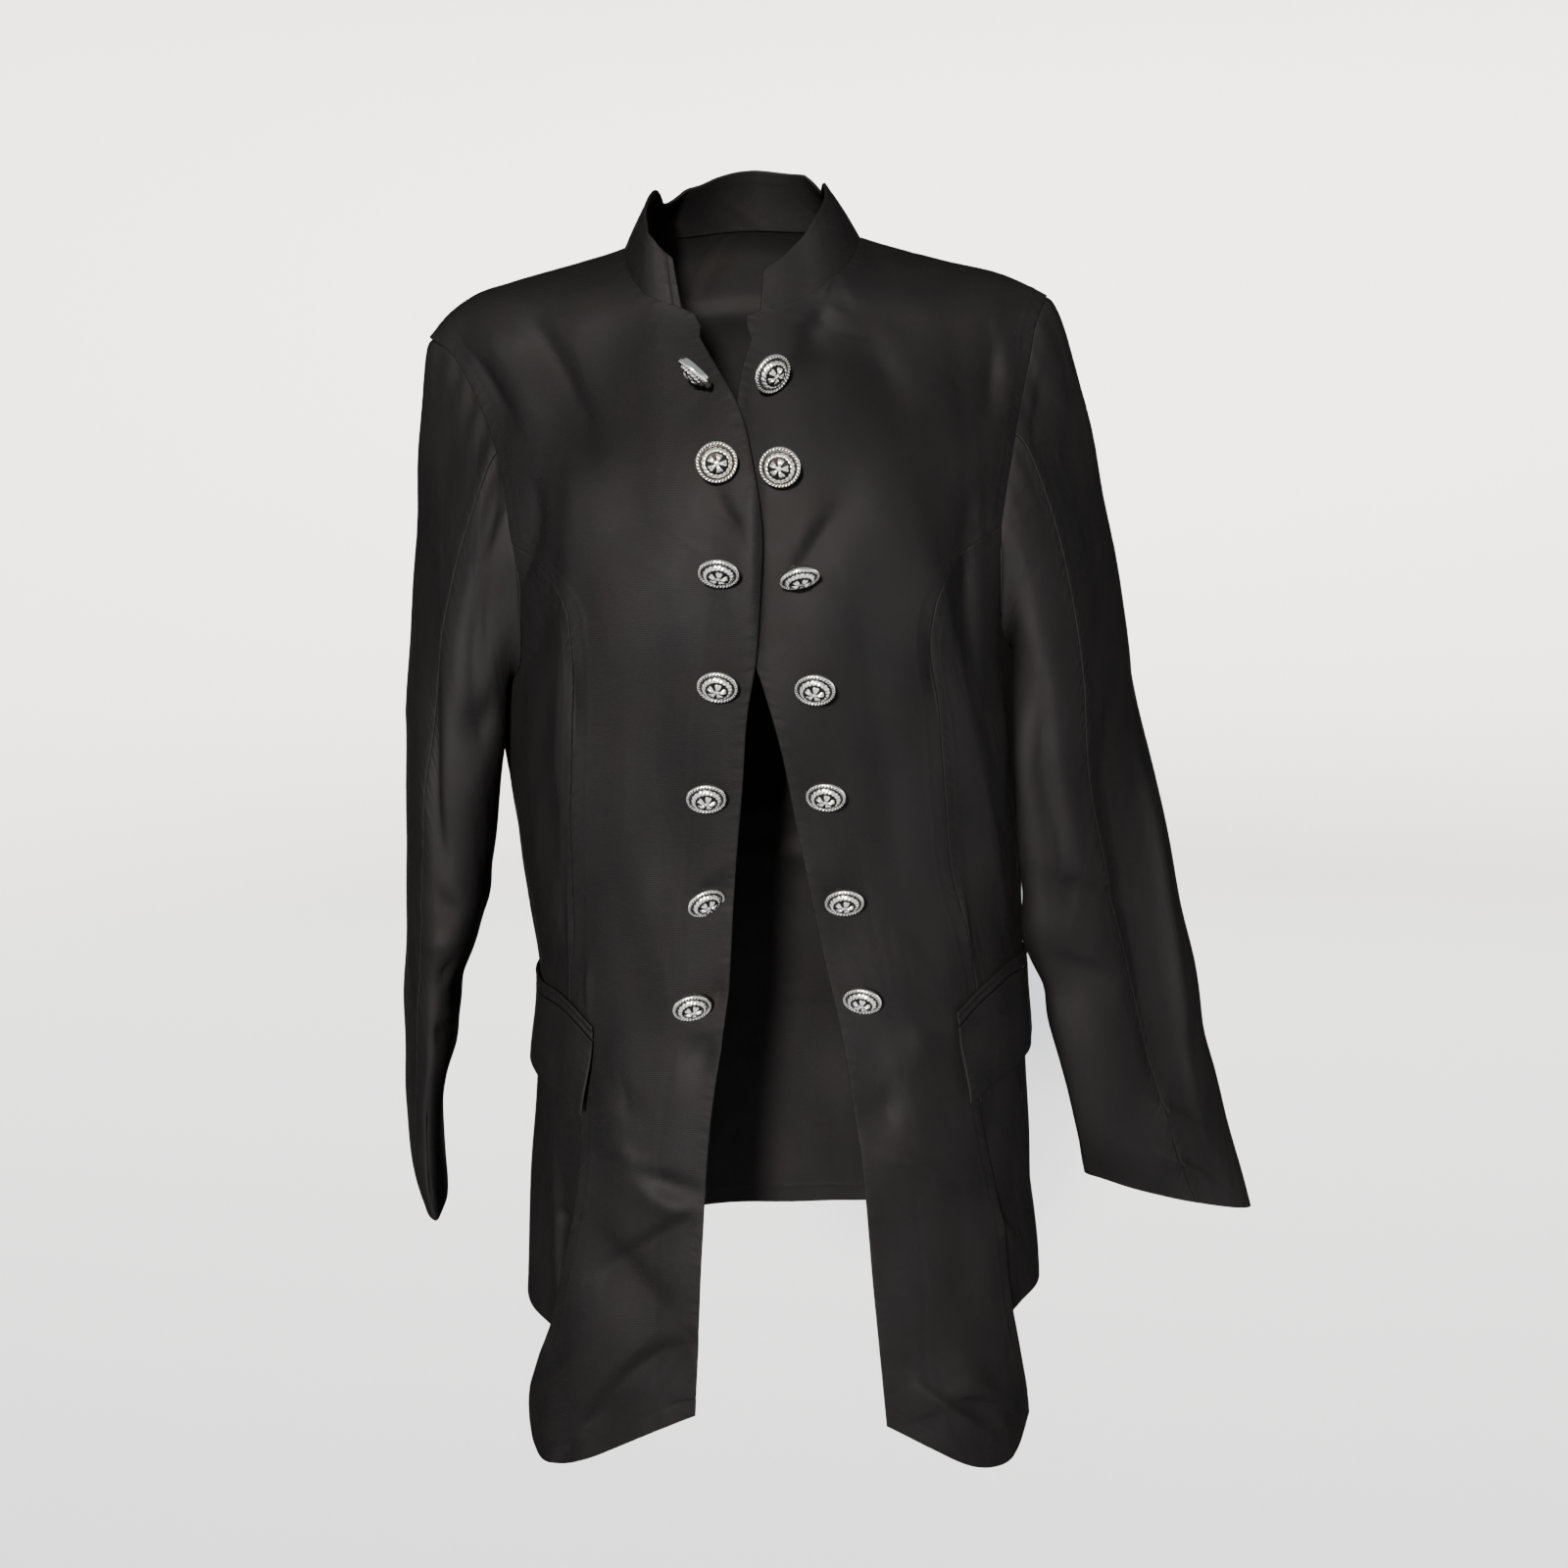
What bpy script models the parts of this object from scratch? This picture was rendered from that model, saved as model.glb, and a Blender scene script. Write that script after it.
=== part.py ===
"""A long black blazer with a stand collar, worn open below the bust.

The cloth keeps the hollow form that it has when worn. The origin is at the
base of the neck, midway between the two points where the collar meets the
shoulder seams. The front faces -Y, the wearer's left is +X and +Z is up.
Sizes are in metres and angles in degrees.
"""
import bpy
import numpy as np

# Driving sizes
WALL = 0.0016
COLLAR_WALL = 0.0024
FLAP_WALL = 0.0022
SEAM_GAP = 0.0003
SLEEVE_GAP = 0.0005
BUTTON_RADIUS = 0.0125
BUTTON_SIDES = 12

SIDES = {"left": 1.0, "right": -1.0}

# Sections of the worn form. A drop is measured down from the shoulder line.
FORM_NAMES = ("drop", "half_width", "middle", "front", "back", "square_front", "square_back")
FORM_ROWS = (
    (0.000, 0.212, -0.0055, 0.052, 0.060, 1.50, 2.2),
    (0.050, 0.207, -0.0030, 0.072, 0.076, 1.50, 2.3),
    (0.100, 0.200, -0.0010, 0.100, 0.090, 1.62, 2.5),
    (0.145, 0.193, 0.0000, 0.126, 0.100, 1.72, 2.6),
    (0.190, 0.185, 0.0000, 0.140, 0.104, 1.82, 2.6),
    (0.235, 0.178, 0.0000, 0.144, 0.104, 1.95, 2.5),
    (0.285, 0.175, 0.0000, 0.141, 0.100, 2.05, 2.4),
    (0.340, 0.1765, 0.0005, 0.134, 0.093, 2.10, 2.3),
    (0.390, 0.1745, 0.0020, 0.129, 0.087, 2.10, 2.2),
    (0.440, 0.1700, 0.0045, 0.128, 0.086, 2.10, 2.2),
    (0.490, 0.1670, 0.0060, 0.130, 0.091, 2.15, 2.2),
    (0.560, 0.1710, 0.0045, 0.137, 0.104, 2.25, 2.2),
    (0.640, 0.1770, 0.0010, 0.142, 0.116, 2.35, 2.3),
    (0.720, 0.1840, -0.0010, 0.144, 0.122, 2.45, 2.3),
    (0.840, 0.1890, -0.0020, 0.144, 0.124, 2.50, 2.3),
)

# Height lost from the neck point along each shoulder seam.
SHOULDER_NAMES = ("x", "fall")
SHOULDER_ROWS = {
    "left": (
        (0.055, 0.0000), (0.076, 0.0080), (0.130, 0.0245), (0.170, 0.0355), (0.197, 0.0490),
        (0.215, 0.0600),
    ),
    "right": (
        (0.055, 0.0000), (0.076, 0.0090), (0.110, 0.0180), (0.150, 0.0275), (0.1765, 0.0355),
        (0.194, 0.0470), (0.207, 0.0605), (0.220, 0.0720),
    ),
}
SHOULDER_TIP = {"left": 0.197, "right": 0.207}
SHOULDER_REACH = 0.22
SHOULDER_ROUND = 0.045
NAPE_LIFT = 0.036
NAPE_REACH = 0.13
NAPE_START = 0.024
NAPE_DROP = 0.030

# Neckline and front edge of each front, from the neck point to the hem.
EDGE_NAMES = ("drop", "x")
EDGE_ROWS = {
    "left": (
        (0.000, 0.0760), (0.020, 0.0670), (0.034, 0.0550), (0.0465, 0.0370), (0.051, 0.0240),
        (0.054, 0.0100), (0.070, 0.0040), (0.090, -0.0030), (0.110, -0.0065), (0.150, -0.0090),
        (0.212, -0.0080), (0.255, -0.0040), (0.276, 0.0020), (0.310, 0.0105), (0.377, 0.0215),
        (0.435, 0.0310), (0.519, 0.0460), (0.570, 0.0520), (0.683, 0.0590), (0.774, 0.0650),
    ),
    "right": (
        (0.000, 0.0760), (0.014, 0.0730), (0.030, 0.0660), (0.042, 0.0570), (0.047, 0.0480),
        (0.050, 0.0385), (0.070, 0.0270), (0.090, 0.0165), (0.110, 0.0060), (0.150, -0.0030),
        (0.182, -0.0065), (0.225, -0.0035), (0.264, 0.0010), (0.290, 0.0065), (0.339, 0.0120),
        (0.400, 0.0195), (0.467, 0.0260), (0.570, 0.0435), (0.683, 0.0545), (0.760, 0.0610),
    ),
}
COLLAR_END_DROP = {"left": 0.054, "right": 0.050}
EDGE_HEM_DROP = {"left": 0.774, "right": 0.760}

# Armhole seam of each front from the shoulder tip down, and of the back.
ARMHOLE_NAMES = ("drop", "x")
ARMHOLE_ROWS = {
    "left": ((0.000, 0.197), (0.023, 0.188), (0.053, 0.183), (0.080, 0.178), (0.110, 0.172),
             (0.155, 0.1640), (0.190, 0.1580)),
    "right": ((0.000, 0.207), (0.024, 0.194), (0.058, 0.181), (0.095, 0.1690), (0.130, 0.1600),
              (0.165, 0.1550), (0.190, 0.1535)),
}
BACK_ARMHOLE_NAMES = ("drop", "share")
BACK_ARMHOLE_ROWS = ((0.000, 1.000), (0.020, 0.955), (0.050, 0.910), (0.100, 0.865), (0.150, 0.835),
                     (0.200, 0.820), (0.240, 0.830), (0.280, 0.860))
BACK_FOOT_DROP = 0.235
UNDERARM_ANGLE = 92.0
UNDERARM_DROP = {"left": 0.275, "right": 0.285}
ARMHOLE_FOOT_NAMES = ("share", "angle", "drop")
ARMHOLE_FOOT_ROWS = ((0.00, 0.00, 0.00), (0.28, 0.06, 0.48), (0.46, 0.18, 0.80), (0.64, 0.41, 0.97),
                     (0.82, 0.70, 1.02), (1.00, 1.00, 1.00))

# Seam between each front and its side panel: up to the bust, down to the slit.
PANEL_SEAM_NAMES = ("drop", "x")
PANEL_SEAM_ROWS = {
    "left": (
        (0.190, 0.1580), (0.200, 0.1400), (0.212, 0.1230), (0.228, 0.1100), (0.246, 0.1050),
        (0.300, 0.1100), (0.360, 0.1130), (0.411, 0.1175), (0.450, 0.1260), (0.484, 0.1340),
        (0.520, 0.1360), (0.560, 0.1345), (0.611, 0.1420), (0.664, 0.1490), (0.718, 0.1550),
        (0.750, 0.1600), (0.785, 0.1670), (0.822, 0.1690),
    ),
    "right": (
        (0.190, 0.1535), (0.200, 0.1390), (0.212, 0.1240), (0.228, 0.1135), (0.246, 0.1110),
        (0.300, 0.1130), (0.360, 0.1180), (0.411, 0.1225), (0.450, 0.1265), (0.484, 0.1325),
        (0.520, 0.1335), (0.560, 0.1300), (0.611, 0.1335), (0.664, 0.1460), (0.718, 0.1600),
        (0.750, 0.1715), (0.785, 0.1830), (0.812, 0.1860),
    ),
}
SEAM_HEM_DROP = {"left": 0.803, "right": 0.800}
SLIT_TOP = 0.560
BACK_HEM_DROP = 0.728
SIDE_HEM_DROP = 0.730
SLIT_TUCK = 0.0035
HEM_TUCK = 0.0090
SLIT_OVERLAP = 3.0
SLIT_OPEN = 0.25

# Hem of each front: its depth below a straight line from edge to seam.
HEM_NAMES = ("share", "sag")
HEM_ROWS = {
    "left": ((0.00, 0.000), (0.20, 0.015), (0.45, 0.030), (0.60, 0.032), (0.75, 0.028), (0.90, 0.016),
             (1.00, 0.000)),
    "right": ((0.00, 0.000), (0.20, 0.014), (0.45, 0.029), (0.70, 0.034), (0.85, 0.029), (0.94, 0.018),
              (1.00, 0.000)),
}

# Sharp fold outside each panel seam, where the front turns to the side.
RIDGE_NAMES = ("drop", "angle", "height")
RIDGE_ROWS = {
    "left": ((0.150, 34.0, 0.0000), (0.200, 37.0, 0.0040), (0.250, 42.0, 0.0070), (0.360, 50.0, 0.0080),
             (0.413, 56.0, 0.0070), (0.445, 61.0, 0.0040), (0.475, 66.0, 0.0000)),
    "right": ((0.100, 36.0, 0.0000), (0.160, 38.0, 0.0045), (0.225, 40.5, 0.0070), (0.316, 43.5, 0.0080),
              (0.367, 44.5, 0.0075), (0.398, 48.0, 0.0070), (0.430, 55.0, 0.0045), (0.465, 62.0, 0.0000)),
}
RIDGE_INNER_WIDTH = 0.026
RIDGE_OUTER_WIDTH = 0.013
RIDGE_SHARP = 0.2

# Drops of the rows of the fronts at the armhole and seam, and at the edge.
ARMHOLE_STEPS = (0.0, 0.005, 0.020, 0.050, 0.085, 0.120, 0.155, 0.190)
SEAM_STEPS = (0.202, 0.218, 0.240, 0.268, 0.300, 0.330, 0.360, 0.390, 0.420, 0.450, 0.480, 0.510, 0.560)
FRONT_LOW_ROWS = 9
SIDE_LOW_ROWS = 6
EDGE_MATCH_NAMES = ("seam", "edge")
EDGE_MATCH_ROWS = ((0.065, 0.054), (0.130, 0.110), (0.190, 0.170), (0.246, 0.238), (0.360, 0.358),
                   (0.560, 0.548))
NECKLINE_ROWS = 4
FRONT_COLUMNS = 8
RIDGE_COLUMNS = 2
FLANK_COLUMNS = 5
NAPE_COLUMNS = 7

# The wearer's right front lies over the left one where they meet.
LAP_NAMES = ("drop", "lift")
LAP_ROWS = ((0.060, 0.000), (0.105, 0.0035), (0.150, 0.0040), (0.260, 0.0040), (0.320, 0.0010),
            (0.380, 0.000))
LAP_REACH = 14.0

# Largest folds: a curve from start by middle to end, raised or sunk by height.
FOLD_NAMES = ("angle_1", "drop_1", "angle_2", "drop_2", "angle_3", "drop_3", "height", "width")
FOLD_ROWS = (
    (68.0, 0.210, 66.0, 0.300, 76.0, 0.420, -0.0050, 0.026),
    (-62.0, 0.200, -60.0, 0.300, -72.0, 0.420, -0.0050, 0.026),
    (-17.0, 0.230, -22.0, 0.330, -23.0, 0.440, -0.0040, 0.018),
    (19.0, 0.230, 24.0, 0.320, 25.0, 0.430, -0.0030, 0.020),
    (-20.0, 0.690, -30.0, 0.668, -42.0, 0.640, -0.0055, 0.020),
    (-22.0, 0.755, -38.0, 0.770, -52.0, 0.808, -0.0060, 0.022),
    (34.0, 0.745, 42.0, 0.770, 50.0, 0.815, 0.0050, 0.018),
    (-40.0, 0.020, -44.0, 0.080, -30.0, 0.150, -0.0035, 0.022),
    (44.0, 0.030, 48.0, 0.080, 45.0, 0.130, -0.0030, 0.020),
    (158.0, 0.120, 150.0, 0.260, 160.0, 0.420, 0.0050, 0.024),
    (-157.0, 0.130, -149.0, 0.270, -159.0, 0.430, 0.0050, 0.024),
    (180.0, 0.380, 178.0, 0.430, 165.0, 0.460, -0.0045, 0.022),
    (150.0, 0.540, 152.0, 0.640, 148.0, 0.740, 0.0070, 0.028),
    (-148.0, 0.530, -151.0, 0.640, -147.0, 0.740, 0.0070, 0.028),
    (176.0, 0.560, 178.0, 0.660, 175.0, 0.740, -0.0050, 0.026),
)
METRES_PER_DEGREE = 0.0025
FOLD_START = 0.030
FOLD_POINTS = 25

# Steps over which the slope of a surface is measured.
STEP_ANGLE = 0.4
STEP_DROP = 0.0008

# Collar, from its front end to the middle of the nape: its height and how it leans.
COLLAR_NAMES = ("share", "height", "inward", "aside")
COLLAR_ROWS = {
    "left": ((0.00, 0.027, 0.34, 0.15), (0.15, 0.037, 0.34, 0.05), (0.35, 0.043, 0.45, 0.00),
             (0.55, 0.042, 0.68, 0.00), (1.00, 0.041, 0.32, 0.00)),
    "right": ((0.00, 0.033, 0.34, 0.32), (0.15, 0.042, 0.38, 0.16), (0.35, 0.043, 0.55, 0.00),
              (0.55, 0.042, 0.78, 0.00), (0.70, 0.041, 0.95, 0.00), (0.85, 0.041, 0.60, 0.00),
              (1.00, 0.041, 0.32, 0.00)),
}
COLLAR_ROWS_UP = 3
COLLAR_SEAM = 0.0008
NECK_AXIS_Y = -0.004

# Sleeve sections across the arm, from the foot of the armhole to the cuff.
SLEEVE_NAMES = ("z", "x", "y", "long", "short", "turn", "slant", "square")
SLEEVE_ROWS = {
    "left": (
        (-0.304, 0.2080, -0.006, 0.0740, 0.0340, 60.0, 0.00, 2.3),
        (-0.350, 0.2110, -0.012, 0.0750, 0.0320, 51.0, 0.00, 2.3),
        (-0.400, 0.2180, -0.018, 0.0710, 0.0300, 41.0, -0.05, 2.3),
        (-0.450, 0.2260, -0.020, 0.0670, 0.0270, 34.0, -0.08, 2.2),
        (-0.500, 0.2370, -0.018, 0.0640, 0.0240, 30.0, -0.10, 2.1),
        (-0.550, 0.2490, -0.016, 0.0630, 0.0220, 29.0, -0.05, 2.0),
        (-0.600, 0.2600, -0.014, 0.0635, 0.0190, 26.0, 0.10, 1.9),
        (-0.640, 0.2695, -0.012, 0.0635, 0.0160, 20.0, 0.25, 1.8),
        (-0.672, 0.2765, -0.010, 0.0630, 0.0130, 10.0, 0.34, 1.8),
    ),
    "right": (
        (-0.306, 0.2035, -0.006, 0.0680, 0.0360, 76.0, 0.00, 2.4),
        (-0.350, 0.2105, -0.009, 0.0670, 0.0330, 78.0, 0.00, 2.4),
        (-0.400, 0.2165, -0.010, 0.0650, 0.0300, 79.0, 0.00, 2.3),
        (-0.450, 0.2245, -0.011, 0.0650, 0.0255, 79.0, 0.00, 2.1),
        (-0.500, 0.2345, -0.011, 0.0640, 0.0205, 79.0, 0.00, 2.0),
        (-0.540, 0.2425, -0.010, 0.0635, 0.0155, 79.0, 0.00, 1.9),
        (-0.580, 0.2475, -0.009, 0.0630, 0.0135, 79.0, 0.00, 1.8),
        (-0.620, 0.2490, -0.008, 0.0630, 0.0125, 79.0, 0.00, 1.8),
        (-0.643, 0.2465, -0.006, 0.0620, 0.0100, 79.0, 0.00, 1.8),
    ),
}
SLEEVE_CLEAR = 0.0050
CAP_ROWS = 5
ARM_ROWS = 12
CAP_PUSH = {"left": 0.048, "right": 0.034}
CAP_PULL = 1.0
SLEEVE_SEAM_STEP = 5
CUFF_BOW = 0.006
ELBOW_FOLD_NAMES = ("z", "around", "height", "width", "spread")
ELBOW_FOLD_ROWS = {
    "left": ((-0.455, 150.0, 0.0035, 0.016, 60.0), (-0.500, 165.0, -0.0040, 0.016, 60.0),
             (-0.565, 20.0, -0.0030, 0.018, 50.0)),
    "right": ((-0.430, 165.0, 0.0030, 0.014, 60.0), (-0.485, 150.0, -0.0050, 0.018, 70.0),
              (-0.535, 170.0, 0.0030, 0.014, 60.0)),
}

# Pocket on each side: a flap under a piped welt, laid across the panel seam.
POCKET_NAMES = ("share", "angle", "welt", "hem")
POCKET_ROWS = {
    "left": ((0.00, 40.5, 0.501, 0.560), (0.25, 52.5, 0.487, 0.554), (1.00, 91.0, 0.487, 0.546)),
    "right": ((0.00, -45.5, 0.504, 0.560), (0.25, -53.5, 0.492, 0.556), (1.00, -91.0, 0.485, 0.548)),
}
WELT_HEIGHT = 0.010
WELT_RAISE = 0.0029
FLAP_RAISE = 0.0035
FLAP_STAND = 0.0060
FLAP_COLUMNS = 8
FLAP_ROWS = 3
WELT_ROWS = 2

# Buttons: place on the front, and the way each one hangs on its shank.
BUTTON_NAMES = ("x", "drop", "droop", "swing", "sink")
BUTTON_ROWS = {
    "left": (
        (0.0145, 0.0945, 40.0, 50.0, 0.0), (0.0180, 0.147, 15.0, -45.0, 0.0012),
        (0.0240, 0.206, 58.0, 2.0, 0.0), (0.0330, 0.274, 38.0, -20.0, 0.0),
        (0.0370, 0.342, 41.0, -24.0, 0.0), (0.0450, 0.411, 42.0, -24.0, 0.0),
        (0.0555, 0.476, 42.0, -30.0, 0.0),
    ),
    "right": (
        (-0.0272, 0.0945, 78.0, -42.0, 0.0), (-0.0180, 0.144, 12.0, 45.0, 0.0),
        (-0.0180, 0.203, 46.0, 0.0, 0.0), (-0.0235, 0.270, 36.0, -5.0, 0.0),
        (-0.0325, 0.340, 38.0, 17.0, 0.0), (-0.0395, 0.408, 41.0, 25.0, 0.0),
        (-0.0480, 0.476, 41.0, 28.0, 0.0),
    ),
}
BUTTON_CLEAR = 0.0008
BUTTON_DEPTH = 0.0026
BUTTON_HANG = 0.35
BUTTON_PROFILE_NAMES = ("radius", "height")
BUTTON_PROFILE_ROWS = ((0.0096, -0.0025), (0.0120, -0.0004), (0.0125, 0.0008), (0.0112, 0.0022),
                       (0.0086, 0.0024), (0.0046, 0.0042))
SHANK_RADIUS = 0.0018
SHANK_STEP = 0.0012
SHANK_BEND = 0.0008
DOME_TOP = 0.0006

# Look of each real material: black satin-faced suiting and bright nickel-plated brass.
LOOKS = {
    "cloth": {"Base Color": (0.0120, 0.0116, 0.0118, 1.0), "Roughness": 0.55, "Metallic": 0.0},
    "metal": {"Base Color": (0.62, 0.61, 0.59, 1.0), "Roughness": 0.28, "Metallic": 1.0},
}
SHARP_ANGLE = 50.0


def read(rows, names):
    """Give one array for each named column of a short table."""
    return {name: np.array([row[index] for row in rows], float) for index, name in enumerate(names)}


def smooth(value, knots, heights):
    """Cubic curve through the knots, whose slopes are those of their neighbours; flat past the ends."""
    value = np.clip(np.asarray(value, float), knots[0], knots[-1])
    slopes = np.gradient(heights, knots)
    index = np.clip(np.searchsorted(knots, value) - 1, 0, len(knots) - 2)
    span = knots[index + 1] - knots[index]
    t = (value - knots[index]) / span
    start = (2 * t**3 - 3 * t**2 + 1) * heights[index] + (t**3 - 2 * t**2 + t) * span * slopes[index]
    end = (3 * t**2 - 2 * t**3) * heights[index + 1] + (t**3 - t**2) * span * slopes[index + 1]
    return start + end


def ease(value):
    """Rise from 0 to 1 with level ends."""
    value = np.clip(value, 0.0, 1.0)
    return value * value * (3.0 - 2.0 * value)


FORM = read(FORM_ROWS, FORM_NAMES)
SHOULDER = {side: read(rows, SHOULDER_NAMES) for side, rows in SHOULDER_ROWS.items()}
EDGE = {side: read(rows, EDGE_NAMES) for side, rows in EDGE_ROWS.items()}
ARMHOLE = {side: read(rows, ARMHOLE_NAMES) for side, rows in ARMHOLE_ROWS.items()}
BACK_ARMHOLE = read(BACK_ARMHOLE_ROWS, BACK_ARMHOLE_NAMES)
ARMHOLE_FOOT = read(ARMHOLE_FOOT_ROWS, ARMHOLE_FOOT_NAMES)
PANEL_SEAM = {side: read(rows, PANEL_SEAM_NAMES) for side, rows in PANEL_SEAM_ROWS.items()}
EDGE_MATCH = read(EDGE_MATCH_ROWS, EDGE_MATCH_NAMES)
LAP = read(LAP_ROWS, LAP_NAMES)
HEM = {side: read(rows, HEM_NAMES) for side, rows in HEM_ROWS.items()}
RIDGE = {side: read(rows, RIDGE_NAMES) for side, rows in RIDGE_ROWS.items()}
FOLDS = [dict(zip(FOLD_NAMES, row)) for row in FOLD_ROWS]
SLEEVE = {side: read(rows, SLEEVE_NAMES) for side, rows in SLEEVE_ROWS.items()}
COLLAR = {side: read(rows, COLLAR_NAMES) for side, rows in COLLAR_ROWS.items()}
ELBOW_FOLDS = {side: [dict(zip(ELBOW_FOLD_NAMES, row)) for row in rows]
               for side, rows in ELBOW_FOLD_ROWS.items()}
POCKET = {side: read(rows, POCKET_NAMES) for side, rows in POCKET_ROWS.items()}
BUTTONS = {side: [dict(zip(BUTTON_NAMES, row)) for row in rows] for side, rows in BUTTON_ROWS.items()}
BUTTON_PROFILE = read(BUTTON_PROFILE_ROWS, BUTTON_PROFILE_NAMES)


def form_size(name, drop):
    """Size of the worn form at a drop below the shoulder line."""
    return smooth(drop, FORM["drop"], FORM[name])


def shoulder_fall(x):
    """Height lost along the shoulder seam on the side of x."""
    left = smooth(np.abs(x), SHOULDER["left"]["x"], SHOULDER["left"]["fall"])
    right = smooth(np.abs(x), SHOULDER["right"]["x"], SHOULDER["right"]["fall"])
    return np.where(x > 0.0, left, right)


def bare_form(angle, drop):
    """Worn form without folds: a squared ellipse at each drop, bent down along the shoulders."""
    turn = np.radians(angle)
    at_front = np.cos(turn) > 0.0
    power = 2.0 / np.where(at_front, form_size("square_front", drop), form_size("square_back", drop))
    across = np.sign(np.sin(turn)) * np.abs(np.sin(turn)) ** power
    along = np.sign(np.cos(turn)) * np.abs(np.cos(turn)) ** power
    x = form_size("middle", drop) + form_size("half_width", drop) * across
    shoulder = np.sqrt(np.clip(1.0 - np.clip(1.0 - drop / SHOULDER_ROUND, 0.0, 1.0) ** 2, 0.0, 1.0))
    depth = np.where(along > 0.0, form_size("front", drop), form_size("back", drop)) * shoulder
    fade = 1.0 - ease(drop / SHOULDER_REACH)
    nape = NAPE_LIFT * np.clip(1.0 - (x / NAPE_REACH) ** 2, 0.0, 1.0) ** 2 * fade
    nape = nape * ease(-along * 2.0) * ease(drop / NAPE_START)
    return np.stack([x, -depth * along, -drop - shoulder_fall(x) * fade + nape], axis=-1)


def angle_at(x, drop, square="square_front"):
    """Angle from the middle of the front, or of the back, where the form reaches x."""
    ratio = np.clip((x - form_size("middle", drop)) / form_size("half_width", drop), -0.9999, 0.9999)
    return np.degrees(np.arcsin(np.sign(ratio) * np.abs(ratio) ** (form_size(square, drop) / 2.0)))


def ridge_height(angle, drop):
    """Height of the two sharp folds: a gentle rise from the front, a steep fall to the side."""
    total = np.zeros(np.broadcast(angle, drop).shape)
    for side, sign in SIDES.items():
        row = RIDGE[side]
        aside = (angle * sign - smooth(drop, row["drop"], row["angle"])) * METRES_PER_DEGREE
        width = np.where(aside > 0.0, RIDGE_OUTER_WIDTH, RIDGE_INNER_WIDTH)
        height = smooth(drop, row["drop"], row["height"])
        total = total + height * np.exp(RIDGE_SHARP - np.sqrt((aside / width) ** 2 + RIDGE_SHARP**2))
    return total


def fold_height(angle, drop):
    """Sum of all folds: each is a bell across its curve, fading at both ends."""
    total = ridge_height((angle + 180.0) % 360.0 - 180.0, drop)
    t = np.linspace(0.0, 1.0, FOLD_POINTS)
    weights = ((1 - t) ** 2, 2 * t * (1 - t), t**2)
    for fold in FOLDS:
        curve_angle = sum(weight * fold["angle_%d" % (place + 1)] for place, weight in enumerate(weights))
        curve_drop = sum(weight * fold["drop_%d" % (place + 1)] for place, weight in enumerate(weights))
        aside = np.abs(angle[..., None] - curve_angle)
        aside = np.minimum(aside, 360.0 - aside) * METRES_PER_DEGREE
        distance = np.hypot(aside, drop[..., None] - curve_drop)
        strength = np.exp(-(distance / fold["width"]) ** 2) * (0.25 + 0.75 * np.sin(np.pi * t))
        total = total + fold["height"] * strength.max(axis=-1)
    return total


def outward(shape, angle, drop):
    """Unit normal of a surface of angle and drop, from its differences, pointing away from the body."""
    across = shape(angle + STEP_ANGLE, drop) - shape(angle - STEP_ANGLE, drop)
    down = shape(angle, drop + STEP_DROP) - shape(angle, np.maximum(drop - STEP_DROP, 0.0))
    normal = np.cross(down, across)
    return normal / np.linalg.norm(normal, axis=-1, keepdims=True)


def cloth(angle, drop, lift=0.0):
    """Outer face of the cloth, with its folds, moved out by lift."""
    angle, drop = np.broadcast_arrays(np.asarray(angle, float), np.asarray(drop, float))
    point = bare_form(angle, drop)
    height = fold_height(angle, drop) * ease(drop / FOLD_START) + lift
    return point + outward(bare_form, angle, drop) * np.asarray(height)[..., None]


def cloth_out(angle, drop):
    """Unit normal of the folded cloth, the same on both sides of the shoulder seam."""
    normal = outward(cloth, np.asarray(angle, float), np.asarray(drop, float))
    normal[..., 1] *= np.where(np.asarray(drop) < 0.001, 0.0, 1.0)
    return normal / np.linalg.norm(normal, axis=-1, keepdims=True)


def pull_in(points, gap):
    """Draw the four sides of a grid of points in by half a seam gap."""
    moved = points.copy()
    rows = ((np.s_[0, :], np.s_[1, :]), (np.s_[-1, :], np.s_[-2, :]))
    columns = ((np.s_[:, 0], np.s_[:, 1]), (np.s_[:, -1], np.s_[:, -2]))
    for side, inside in rows + columns:
        inward = points[inside] - points[side]
        along = np.gradient(points[side], axis=0)
        along = along / np.linalg.norm(along, axis=-1, keepdims=True)
        inward = inward - along * np.sum(inward * along, axis=-1, keepdims=True)
        moved[side] += inward / np.linalg.norm(inward, axis=-1, keepdims=True) * gap * 0.5
    return moved


def material(name, look):
    """Plain surface of one real material."""
    made = bpy.data.materials.new(name)
    made.use_nodes = True
    shader = made.node_tree.nodes["Principled BSDF"]
    for socket, value in LOOKS[look].items():
        shader.inputs[socket].default_value = value
    return made


def add_object(name, points, faces, look):
    """Make a named object from points and faces."""
    mesh = bpy.data.meshes.new(name)
    mesh.from_pydata([tuple(point) for point in points], [], [tuple(face) for face in faces])
    mesh.update()
    mesh.shade_smooth()
    mesh.set_sharp_from_angle(angle=np.radians(SHARP_ANGLE))
    made = bpy.data.objects.new(name, mesh)
    bpy.context.scene.collection.objects.link(made)
    mesh.materials.append(material(name, look))
    return made


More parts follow.
